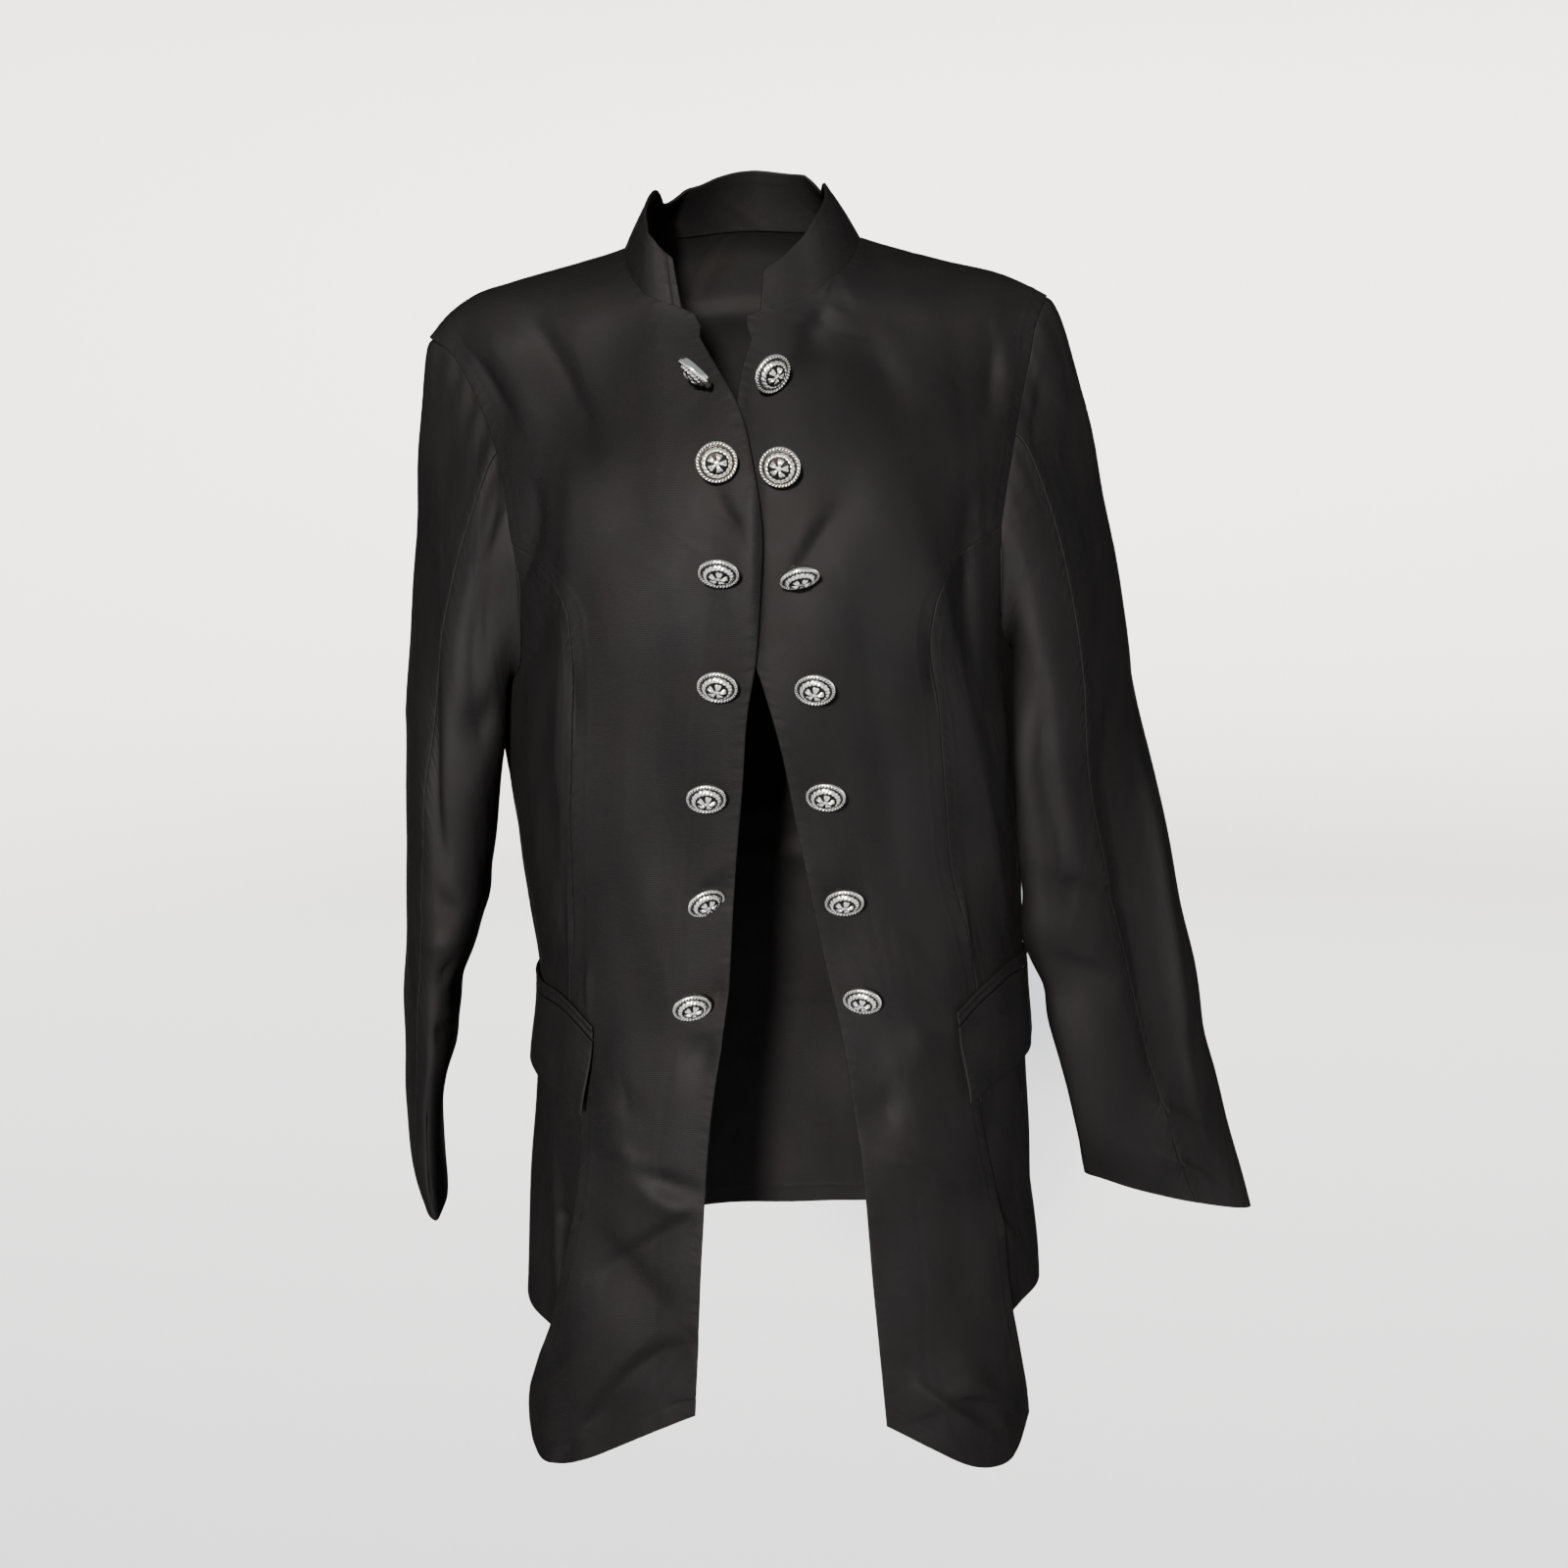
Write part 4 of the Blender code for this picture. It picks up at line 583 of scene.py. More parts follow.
def add_cloth(node, surface, wall, marks=()):
    """Closed shell of cloth in place of a node, from a grid of points on its outer face.

    The middle of the wall lies half its thickness in. Both faces stand half a thickness off it, by
    sqrt(1 - (1 - d / LIP) squared) of that at a distance d from the rim, where they meet. A mark is
    a side, a distance from it, a height and a width: a ridge pressed through along that side.
    """
    normal = unit(np.cross(np.gradient(surface, axis=0), np.gradient(surface, axis=1)))
    across = run(surface, 1)
    down = run(surface, 0)
    away = {"left": across, "right": across[:, -1:] - across, "top": down, "bottom": down[-1:] - down}
    rim = np.clip(np.minimum.reduce(list(away.values())) / LIP, 0.0, 1.0)
    rise = np.sqrt(1.0 - (1.0 - rim) ** 2)[..., None] * wall * 0.5
    press = np.zeros(across.shape)
    for side, distance, height, width in marks:
        press = press + height * np.exp(-(((away[side] - distance) / width) ** 2))
    middle = surface - normal * (wall * 0.5 - press)[..., None]
    rows, columns = across.shape
    number = np.arange(rows * columns).reshape(rows, columns)
    back = number.copy()
    back[1:-1, 1:-1] = rows * columns + np.arange((rows - 2) * (columns - 2)).reshape(rows - 2, -1)
    inner = (middle - normal * rise)[1:-1, 1:-1].reshape(-1, 3)
    points = np.concatenate([(middle + normal * rise).reshape(-1, 3), inner])
    faces = np.concatenate([quads_between(number), quads_between(back[:, ::-1])])
    piece = add_piece(node + "_cloth", points, faces.tolist(), black_satin)
    grain = np.stack([across, down], -1)
    grain = np.concatenate([grain.reshape(-1, 2), grain[1:-1, 1:-1].reshape(-1, 2)])
    weave = piece.data.uv_layers.new(name="grain")
    weave.data.foreach_set("uv", grain[faces.ravel()].ravel())
    seam = np.minimum(away["left"], away["right"])
    seam = np.concatenate([seam.ravel(), seam[1:-1, 1:-1].ravel()])
    piece.data.attributes.new("seam", "FLOAT", "POINT").data.foreach_set("value", seam)
    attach(piece, "root")
    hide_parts(node)
    cut = (float(across[:, -1].max()), float(down[-1].max()))
    cut = tuple(max(size, 0.0101) for size in cut)
    return piece


# Black polyester satin-back suiting, woven with long floats and pressed: nearly black and matt,
# with a soft sheen on every raised place and a fine broken grain along the warp. The sheen comes
# from a dark, rough metallic lobe, without the bright rim that a dielectric has at grazing angles.
# Real threads are 0.25 mm apart, which the render can't show, so the grain is drawn about 1 mm wide.
GRAIN_WIDTH_MM = 0.9
GRAIN_STRETCH = 3.5
TWILL_SPACING_MM = 1.3
MOTTLE_WIDTH_MM = 45.0
SLACK_WIDTH_MM = 42.0
PUCKER_LENGTH_MM = 7.0
black_satin, tree, shader = new_material("black_polyester_satin_suiting")
grain = add_node(tree, "ShaderNodeUVMap", uv_map="grain")
warp = add_node(tree, "ShaderNodeMapping", {
    "Vector": grain.outputs["UV"],
    "Scale": (1000.0 / GRAIN_WIDTH_MM, 1000.0 / (GRAIN_WIDTH_MM * GRAIN_STRETCH), 1.0)})
floats = add_node(tree, "ShaderNodeTexNoise", {
    "Vector": warp.outputs["Vector"], "Scale": 1.0, "Detail": 2.0, "Roughness": 0.6},
    noise_dimensions="2D")
diagonal = add_node(tree, "ShaderNodeMapping", {
    "Vector": grain.outputs["UV"], "Rotation": (0.0, 0.0, np.radians(63.0)),
    "Scale": (0.31416 * 1000.0 / TWILL_SPACING_MM,) * 3})
twill = add_node(tree, "ShaderNodeTexWave", {
    "Vector": diagonal.outputs["Vector"], "Scale": 1.0, "Distortion": 0.6, "Detail": 1.0,
    "Detail Scale": 3.0})
mottle = add_node(tree, "ShaderNodeTexNoise", {
    "Vector": grain.outputs["UV"], "Scale": 1000.0 / MOTTLE_WIDTH_MM, "Detail": 3.0, "Roughness": 0.55},
    noise_dimensions="2D")
weave_height = add_node(tree, "ShaderNodeMath", {
    0: floats.outputs["Fac"], 1: twill.outputs["Fac"]}, operation="ADD")
weave_bump = add_node(tree, "ShaderNodeBump", {
    "Height": weave_height.outputs["Value"], "Strength": 0.35, "Distance": 0.00012})
slack = add_node(tree, "ShaderNodeMapping", {
    "Vector": grain.outputs["UV"],
    "Scale": (1000.0 / SLACK_WIDTH_MM, 1000.0 / (SLACK_WIDTH_MM * 1.8), 1.0)})
slack_noise = add_node(tree, "ShaderNodeTexNoise", {
    "Vector": slack.outputs["Vector"], "Scale": 1.0, "Detail": 1.5, "Roughness": 0.4, "Distortion": 0.8},
    noise_dimensions="2D")
slack_bump = add_node(tree, "ShaderNodeBump", {
    "Height": slack_noise.outputs["Fac"], "Strength": 0.25, "Distance": 0.0045,
    "Normal": weave_bump.outputs["Normal"]})
seam_distance = add_node(tree, "ShaderNodeAttribute", attribute_name="seam")
seam_fade = add_node(tree, "ShaderNodeMapRange", {
    "Value": seam_distance.outputs["Fac"], "From Min": 0.001, "From Max": 0.012, "To Min": 1.0,
    "To Max": 0.0}, interpolation_type="SMOOTHSTEP")
along_seam = add_node(tree, "ShaderNodeMapping", {
    "Vector": grain.outputs["UV"],
    "Scale": (1000.0 / (PUCKER_LENGTH_MM * 5.0), 1000.0 / PUCKER_LENGTH_MM, 1.0)})
pucker = add_node(tree, "ShaderNodeTexNoise", {
    "Vector": along_seam.outputs["Vector"], "Scale": 1.0, "Detail": 1.0}, noise_dimensions="2D")
pucker_height = add_node(tree, "ShaderNodeMath", {
    0: pucker.outputs["Fac"], 1: seam_fade.outputs["Result"]}, operation="MULTIPLY")
pucker_bump = add_node(tree, "ShaderNodeBump", {
    "Height": pucker_height.outputs["Value"], "Strength": 0.6, "Distance": 0.0012,
    "Normal": slack_bump.outputs["Normal"]})
tone = add_node(tree, "ShaderNodeMath", {
    0: floats.outputs["Fac"], 1: 0.55, 2: 0.22}, operation="MULTIPLY_ADD")
tone_mix = add_node(tree, "ShaderNodeMath", {
    0: mottle.outputs["Fac"], 1: 0.35, 2: tone.outputs["Value"]}, operation="MULTIPLY_ADD")
colour = add_node(tree, "ShaderNodeMix", {
    "Factor": tone_mix.outputs["Value"], "A": linear("#121519"), "B": linear("#1e1c1b")},
    data_type="RGBA")
sheen_patch = add_node(tree, "ShaderNodeMapRange", {
    "Value": mottle.outputs["Fac"], "From Min": 0.3, "From Max": 0.7, "To Min": 0.66, "To Max": 0.72})
tree.links.new(colour.outputs["Result"], shader.inputs["Base Color"])
tree.links.new(sheen_patch.outputs["Result"], shader.inputs["Roughness"])
tree.links.new(pucker_bump.outputs["Normal"], shader.inputs["Normal"])
shader.inputs["Specular IOR Level"].default_value = 0.0
shader.inputs["Metallic"].default_value = 0.85
shader.inputs["Specular Tint"].default_value = linear("#000000")

for side, sign in SIDES.items():
    row = row_places(FRONT_ROWS, (NECKLINE_ROWS, len(ARMHOLE_STEPS) - 1.0), 29.0)
    share = crowd(FRONT_COLUMNS)
    seam, edge = front_steps(side, row)
    sewn = [line_angles(lines, side, seam) for lines in (ARMHOLE, PANEL_SEAM)]
    outer_side = np.where(seam <= ARMHOLE_STEPS[-1], *sewn)
    grid = ruled(np.stack([line_angles(EDGE, side, edge), edge], -1), np.stack([outer_side, seam], -1), share)
    grid[..., 1] += smooth(share, HEM[side]["share"], HEM[side]["sag"]) * ease((grid[..., 1] - 0.64) / 0.16)
    grid = grid if sign > 0.0 else grid[:, ::-1]
    angle, drop = grid[..., 0], grid[..., 1]
    edge_side, seam_side = ("left", "right") if sign > 0.0 else ("right", "left")
    marks = ((edge_side, FACING_WIDTH[side], -MARK_HEIGHT, MARK_WIDTH),) + seam_marks(seam_side)
    add_cloth("front_" + side, cloth(angle, drop, lap_lift(side, angle, drop)), PANEL_WALL, marks)

# Side panels: black suiting from the curved seam at the front round under the arm to the side
# seam. Below the pocket the front is left free of them in a slit, and they hang a little inside it.
SIDE_LOW_ROWS = 6
SIDE_HEM_DROP = 0.730
BACK_HEM_DROP = 0.728
UNDERARM_ANGLE = 92.0
UNDERARM_DROP = {"left": 0.275, "right": 0.285}
ARMHOLE_FOOT_NAMES = ("share", "angle", "drop")
ARMHOLE_FOOT_ROWS = ((0.00, 0.00, 0.00), (0.28, 0.06, 0.48), (0.46, 0.18, 0.80), (0.64, 0.41, 0.97),
                     (0.82, 0.70, 1.02), (1.00, 1.00, 1.00))
ARMHOLE_FOOT = read(ARMHOLE_FOOT_ROWS, ARMHOLE_FOOT_NAMES)
SLIT_TUCK = 0.0035
HEM_TUCK = 0.0090
SLIT_OVERLAP = 3.0
SLIT_OPEN = 0.25
SIDE_ROWS = 190
SIDE_COLUMNS = 66


def side_steps(side, row):
    """Drops of a side panel's rows at its front seam and at its side seam."""
    low = np.linspace(SLIT_TOP, SIDE_HEM_DROP, SIDE_LOW_ROWS + 1)[1:]
    seam = np.concatenate([ARMHOLE_STEPS[-1:], SEAM_STEPS, low])
    rear = np.linspace(UNDERARM_DROP[side], BACK_HEM_DROP, len(seam))
    places = np.arange(len(seam))
    return np.interp(row, places, seam), np.interp(row, places, rear)


def armhole_foot(side, share):
    """Foot of the armhole from the front panel's seam to the underarm, as (angle, drop)."""
    start_angle = line_angles(ARMHOLE, side, np.array([ARMHOLE_STEPS[-1]]))[0]
    turn = smooth(share, ARMHOLE_FOOT["share"], ARMHOLE_FOOT["angle"])
    fall = smooth(share, ARMHOLE_FOOT["share"], ARMHOLE_FOOT["drop"])
    angle = start_angle + (SIDES[side] * UNDERARM_ANGLE - start_angle) * turn
    drop = ARMHOLE_STEPS[-1] + (UNDERARM_DROP[side] - ARMHOLE_STEPS[-1]) * fall
    return np.stack([angle, drop], axis=-1)


def flank_shares(side, left, right, column):
    """Shares of a side panel's columns in each row: two steps to the sharp fold, five beyond it."""
    ridge = smooth(left[:, 1], RIDGE[side]["drop"], RIDGE[side]["angle"]) * SIDES[side]
    share = np.clip((ridge - left[:, 0]) / (right[:, 0] - left[:, 0]), 0.10, 0.42)[:, None]
    return share * np.minimum(column / 2.0, 1.0) + (1.0 - share) * np.clip((column - 2.0) / 5.0, 0.0, 1.0)


for side, sign in SIDES.items():
    row = crowd(SIDE_ROWS, (), 19.0)
    seam, rear = side_steps(side, row)
    below = ease((seam - SLIT_TOP) / 0.025)
    under = ease((seam - SLIT_TOP - 0.004) / 0.028)
    apart = SLIT_OPEN * ease((seam - SLIT_TOP + 0.03) / 0.03) * (1.0 - under)
    left = np.stack([line_angles(PANEL_SEAM, side, seam) + sign * (apart - SLIT_OVERLAP * under), seam], -1)
    right = np.stack([np.full(len(rear), sign * UNDERARM_ANGLE), rear], -1)
    share = flank_shares(side, left, right, crowd(SIDE_COLUMNS, (2.0,), 7.0))
    grid = ruled(left, right, share)
    fade = np.clip(1.0 - row / 8.0, 0.0, 1.0)[:, None, None]
    grid = grid + (armhole_foot(side, share[0]) - grid[0])[None] * fade
    low = np.clip((seam - SLIT_TOP) / (SIDE_HEM_DROP - SLIT_TOP), 0.0, 1.0)
    tuck = -(SLIT_TUCK * below + HEM_TUCK * low)[:, None] * ease((1.0 - share) * 1.5 - 0.2)
    if sign < 0.0:
        grid, tuck = grid[:, ::-1], tuck[:, ::-1]
    surface = cloth(grid[..., 0], grid[..., 1], tuck)
    add_cloth("side_" + side, surface, PANEL_WALL, seam_marks("left", "right"))

# Back: one panel of black suiting from side seam to side seam, joined to the fronts along the
# shoulders, with the neckline in the middle of its top and a turned-up hem.
BACK_ARMHOLE_NAMES = ("drop_mm", "share")
BACK_ARMHOLE_ROWS = (
    (0, 1), (20, 0.955), (50, 0.91), (100, 0.865), (150, 0.835), (200, 0.82), (240, 0.83), (280, 0.86),
)
BACK_ARMHOLE = read(BACK_ARMHOLE_ROWS, BACK_ARMHOLE_NAMES)
BACK_FOOT_DROP = 0.235
NAPE_DROP = 0.030
SHOULDER_STEPS = 8.0
NAPE_STEPS = 7.0
BACK_ROWS = 210
BACK_COLUMNS = 120


def back_armhole_line(side, drops):
    """Angles of the back half of the armhole, whose x is a share of the shoulder tip's."""
    x = SIDES[side] * SHOULDER_TIP[side] * smooth(drops, BACK_ARMHOLE["drop"], BACK_ARMHOLE["share"])
    angle = SIDES[side] * 180.0 - angle_at(x, drops, "square_back")
    foot = ease((drops - BACK_FOOT_DROP) / (UNDERARM_DROP[side] - BACK_FOOT_DROP))
    return angle + (SIDES[side] * UNDERARM_ANGLE - angle) * foot


def shoulder_row(side, share):
    """Angles of the back's points along a shoulder seam, at shares of it from the neck to the tip."""
    start = np.zeros(len(share))
    ends = line_angles(EDGE, side, start[:1]), line_angles(ARMHOLE, side, start[:1])
    x = bare_form(ends[0] + (ends[1] - ends[0]) * share, start)[:, 0]
    return (180.0 - angle_at(x, start, "square_back")) % 360.0


def back_top_row(column):
    """Top of the back from one shoulder tip by the back of the neck to the other, as (angle, drop)."""
    left = shoulder_row("left", np.clip(1.0 - column / SHOULDER_STEPS, 0.0, 1.0))
    right = shoulder_row("right", np.clip((column - SHOULDER_STEPS - NAPE_STEPS) / SHOULDER_STEPS, 0.0, 1.0))
    ends = [float(shoulder_row(side, np.zeros(1))[0]) for side in ("left", "right")]
    share = np.clip((column - SHOULDER_STEPS) / NAPE_STEPS, 0.0, 1.0)
    angle = np.where(column < SHOULDER_STEPS, left, np.where(share < 1.0, ends[0], right))
    angle = angle + np.where(share < 1.0, (ends[1] - ends[0]) * share, 0.0)
    return np.stack([angle, NAPE_DROP * np.sqrt(1.0 - (share * 2.0 - 1.0) ** 2)], axis=-1)


lines = []
row = row_places(BACK_ROWS, (), 29.0)
for side, sign in SIDES.items():
    rear = np.linspace(UNDERARM_DROP[side], BACK_HEM_DROP, 20)
    upper = np.array(ARMHOLE_STEPS[:-1] + (0.195, BACK_FOOT_DROP, UNDERARM_DROP[side] - 0.012))
    drops = np.interp(row, np.arange(30), np.concatenate([upper, rear]))
    angle = np.where(drops < UNDERARM_DROP[side], back_armhole_line(side, drops), sign * UNDERARM_ANGLE)
    lines.append(np.stack([angle % 360.0, drops], -1))
last = 2.0 * SHOULDER_STEPS + NAPE_STEPS
column = crowd(BACK_COLUMNS, (SHOULDER_STEPS, SHOULDER_STEPS + NAPE_STEPS), last)
grid = ruled(lines[0], lines[1], column / last)
fade = np.clip(1.0 - grid[:, :1, 1] / 0.30, 0.0, 1.0)[..., None] ** 2
grid = grid + (back_top_row(column)[None] - grid[:1]) * fade
add_cloth("back", cloth(grid[..., 0], grid[..., 1]), PANEL_WALL, seam_marks("left", "right"))

# Sleeves: an upper and an under piece of black suiting each, seamed along the front and the back
# of the arm and set into the armhole with a little ease, so that the cap ripples beside the seam.
SLEEVE_NAMES = ("z_mm", "x_mm", "y_mm", "long_mm", "short_mm", "turn", "slant", "square")
SLEEVE_ROWS = {
    "left": (
        (-304, 208, -6, 74, 34, 60, 0, 2.3), (-350, 211, -12, 75, 32, 51, 0, 2.3),
        (-400, 218, -18, 71, 30, 41, -0.05, 2.3), (-450, 226, -20, 67, 27, 34, -0.08, 2.2),
        (-500, 237, -18, 64, 24, 30, -0.1, 2.1), (-550, 249, -16, 63, 22, 29, -0.05, 2),
        (-600, 260, -14, 63.5, 19, 26, 0.1, 1.9), (-640, 269.5, -12, 63.5, 16, 20, 0.25, 1.8),
        (-672, 276.5, -10, 63, 13, 10, 0.34, 1.8),
    ),
    "right": (
        (-306, 203.5, -6, 68, 36, 76, 0, 2.4), (-350, 210.5, -9, 67, 33, 78, 0, 2.4),
        (-400, 216.5, -10, 65, 30, 79, 0, 2.3), (-450, 224.5, -11, 65, 25.5, 79, 0, 2.1),
        (-500, 234.5, -11, 64, 20.5, 79, 0, 2), (-540, 242.5, -10, 63.5, 15.5, 79, 0, 1.9),
        (-580, 247.5, -9, 63, 13.5, 79, 0, 1.8), (-620, 249, -8, 63, 12.5, 79, 0, 1.8),
        (-643, 246.5, -6, 62, 10, 79, 0, 1.8),
    ),
}
SLEEVE = read_sides(SLEEVE_ROWS, SLEEVE_NAMES)
SLEEVE_CLEAR = 0.0050
SLEEVE_SEAM_DROP = 0.120
SLEEVE_WALL = 0.0013
SEAM_SINK = {"left": 0.0011, "right": 0.0020}
SEAM_TUCK = 0.0012
CAP_PUSH = {"left": 0.048, "right": 0.034}
CUFF_BOW = 0.006
CAP_ROWS = 34
ARM_ROWS = 110
SLEEVE_COLUMNS = {"upper": 84, "under": 66}
LOOP_POINTS = 200
CAP_RIPPLES = 26.0
CAP_RIPPLE_HEIGHT = {"left": 0.00035, "right": 0.0007}

# Broad folds round the elbow, which the solids have too: height z, angle round the arm, height,
# width along the arm and spread round it in degrees.
ELBOW_ROWS = {
    "left": ((-0.455, 150.0, 0.0035, 0.016, 60.0), (-0.500, 165.0, -0.0040, 0.016, 60.0),
             (-0.565, 20.0, -0.0030, 0.018, 50.0)),
    "right": ((-0.430, 165.0, 0.0030, 0.014, 60.0), (-0.485, 150.0, -0.0050, 0.018, 70.0),
              (-0.535, 170.0, 0.0030, 0.014, 60.0)),
}

# Creases of the sleeves, as for the body: the angle goes round the arm from the shoulder tip by
# the front, and the drop is below the origin.
ARM_FOLD_ROWS = {
    "right": (
        (67, 140, 81, 171, 86, 197, -3, 6, 1.5),
        (91, 209, 96, 245, 110, 290, -5, 8, 1.5),
        (60, 262, 70, 330, 92, 395, -6.2, 10, 1.6),
        (118, 288, 119, 306, 118, 322, -5.5, 12, 2),
        (84, 415, 100, 426, 122, 434, -4.3, 6, 1.4),
        (60, 445, 90, 452, 125, 448, 3.6, 8, 1.5),
        (88, 476, 105, 470, 126, 464, -4.1, 6, 1.4),
        (95, 510, 120, 513, 147, 510, -3.7, 6, 1.4),
        (142, 467, 148, 485, 154, 500, -4.6, 10, 1.8),
        (100, 555, 97, 600, 104, 640, -4.1, 10, 1.7),
        (20, 400, 40, 430, 60, 440, -3, 6, 1.5),
        (240, 425, 280, 440, 325, 422, -5, 8, 1.5),
        (228, 480, 270, 492, 312, 478, -5, 8, 1.5),
        (255, 250, 262, 320, 258, 390, -5.1, 13, 1.8),
        (300, 550, 290, 600, 296, 640, -4.1, 10, 1.7),
    ),
    "left": (
        (28, 98, 45, 124, 58, 142, -1.9, 3, 1.3),
        (15, 345, 24, 469, 34, 615, 5.8, 10, 1.5),
        (45, 340, 55, 470, 62, 600, -9, 17, 1.8),
        (107, 292, 96, 358, 91, 428, -4.7, 12, 1.8),
        (117, 422, 81, 435, 54, 448, -4.3, 8, 1.5),
        (120, 480, 95, 490, 70, 502, -3.2, 7, 1.5),
        (74, 594, 58, 605, 38, 620, 3, 5, 1.3),
        (81, 634, 58, 646, 41, 664, 2.6, 5, 1.3),
        (250, 260, 258, 330, 252, 410, -5.5, 13, 1.8),
        (230, 430, 270, 446, 310, 432, -5, 8, 1.5),
        (240, 520, 280, 532, 320, 520, -4.1, 8, 1.5),
    ),
}
ARM_METRES_PER_DEGREE = 0.00095


def cloth_out(angle, drop):
    """Unit normal of the folded cloth, turned straight up or aside along the shoulder seam."""
    normal = outward(cloth, angle, drop)
    normal[..., 1] *= ease(drop / 0.004)
    return unit(normal)


def armhole_loop(side):
    """Closed line of (angle, drop) round the armhole: down the front, under the arm, up the back."""
    share = np.linspace(0.0, 1.0, LOOP_POINTS)
    front = ARMHOLE_STEPS[-1] * share**2
    back = UNDERARM_DROP[side] * (1.0 - share) ** 2
    first = np.stack([line_angles(ARMHOLE, side, front), front], -1)
    last = np.stack([back_armhole_line(side, back), back], -1)
    return np.concatenate([first, armhole_foot(side, share)[1:], last[1:]])


def arm_points(side, around, depth):
    """Rows of squared ovals along the arm, at depths of 0 to 1 from the armhole's foot to the cuff."""
    table = SLEEVE[side]
    z = table["z"][0] + (table["z"][-1] - table["z"][0]) * depth
    size = {name: smooth(-z, -table["z"], column)[:, None] for name, column in table.items()}
    turn = np.radians(size["turn"])
    phase = around[None, :] + turn
    power = 2.0 / size["square"]
    along = size["long"] * np.sign(np.cos(phase)) * np.abs(np.cos(phase)) ** power
    across = size["short"] * np.sign(np.sin(phase)) * np.abs(np.sin(phase)) ** power
    out = along * np.cos(turn) + across * np.sin(turn)
    fore = -along * np.sin(turn) + across * np.cos(turn)
    fold = np.zeros_like(out)
    for height_at, angle_at_fold, height, width, spread in ELBOW_ROWS[side]:
        gap = (np.degrees(around)[None, :] - angle_at_fold + 180.0) % 360.0 - 180.0
        fold = fold + height * np.exp(-(((z[:, None] - height_at) / width) ** 2) - (gap / spread) ** 2)
    out = out + fold * np.cos(around)[None, :]
    fore = fore + fold * np.sin(around)[None, :]
    bow = CUFF_BOW * ease((depth - 0.6) / 0.4)[:, None] * fore / size["long"]
    height = z[:, None] - size["slant"] * out - bow
    return np.stack([SIDES[side] * (size["x"] + out), size["y"] - fore, height], -1)


def keep_clear(points, clearance):
    """Push points that come too near the body's cloth straight out from it, with a soft onset."""
    drop = -points[..., 2]
    across = (points[..., 0] - form_size("middle", drop)) / form_size("half_width", drop)
    fore = points[..., 1] < 0.0
    depth = np.where(fore, form_size("front", drop), form_size("back", drop))
    power = np.where(fore, form_size("square_front", drop), form_size("square_back", drop)) / 2.0
    turn = np.degrees(np.arctan2(np.abs(across) ** power, np.abs(points[..., 1] / depth) ** power))
    angle = np.where(fore, turn, 180.0 - turn) * np.sign(across)
    normal = cloth_out(angle, np.maximum(drop, 0.0))
    lack = clearance - np.sum((points - cloth(angle, np.maximum(drop, 0.0))) * normal, axis=-1)
    push = 0.5 * (lack + np.sqrt(lack**2 + 0.003**2)) * ease((drop - 0.16) / 0.06)
    return points + normal * np.where(clearance > 0.0, push, 0.0)[..., None]


def sleeve_surface(side, start_line, around):
    """Sleeve's outer face: a cap of cubic curves from the armhole to the first row of the arm."""
    sign = SIDES[side]
    away = unit(cloth_out(start_line[:, 0], start_line[:, 1]) * 0.35 + np.array([sign, 0.0, 0.0]))
    start = cloth(start_line[:, 0], start_line[:, 1], -SEAM_SINK[side]) - away * SEAM_TUCK
    share = np.linspace(0.0, 1.0, ARM_ROWS)
    arm = arm_points(side, around, share + CROWDING * np.sin(np.pi * share) / np.pi)
    whole = np.linspace(0.0, 2.0 * np.pi, LOOP_POINTS, endpoint=False)
    ends = arm_points(side, whole, np.array([0.0, 1.0 / 12.0])).mean(axis=1)
    axis = unit(ends[1] - ends[0])
    reach = np.linalg.norm(arm[0] - start, axis=-1)[:, None]
    leave = away * np.minimum(reach, CAP_PUSH[side])
    share = np.linspace(0.0, 1.0, CAP_ROWS + 1)[:-1]
    t = (share - CROWDING * np.sin(np.pi * share) / np.pi)[:, None, None]
    cap = (2 * t**3 - 3 * t**2 + 1) * start + (t**3 - 2 * t**2 + t) * leave
    cap = cap + (3 * t**2 - 2 * t**3) * arm[0] + (t**3 - t**2) * axis * reach
    clearance = SLEEVE_CLEAR * np.clip(np.append(t[:, 0, 0] / 0.6, np.ones(ARM_ROWS)), 0.0, 1.0)[:, None]
    surface = keep_clear(np.concatenate([cap, arm]), clearance)
    facing = unit(np.cross(np.gradient(surface, axis=1), np.gradient(surface, axis=0))) * sign
    turn = np.broadcast_to(np.degrees(around), surface.shape[:2])
    rise = crease_height(ARM_FOLD_ROWS[side], turn, -surface[..., 2], ARM_METRES_PER_DEGREE)
    for turns, per_metre, phase, height in WAVE_ROWS:
        wave = np.sin(turns // 3 * np.radians(turn) - per_metre * 9.0 * surface[..., 2] + phase)
        rise = rise + 0.7 * height * wave
    down = run(surface, 0)
    ripple = np.sin(CAP_RIPPLES * around + 1.3 * np.sin(3.0 * around)) * np.exp(-((down / 0.022) ** 2))
    rise = rise + CAP_RIPPLE_HEIGHT[side] * ripple
    return surface + facing * (rise * ease(down / 0.006))[..., None]


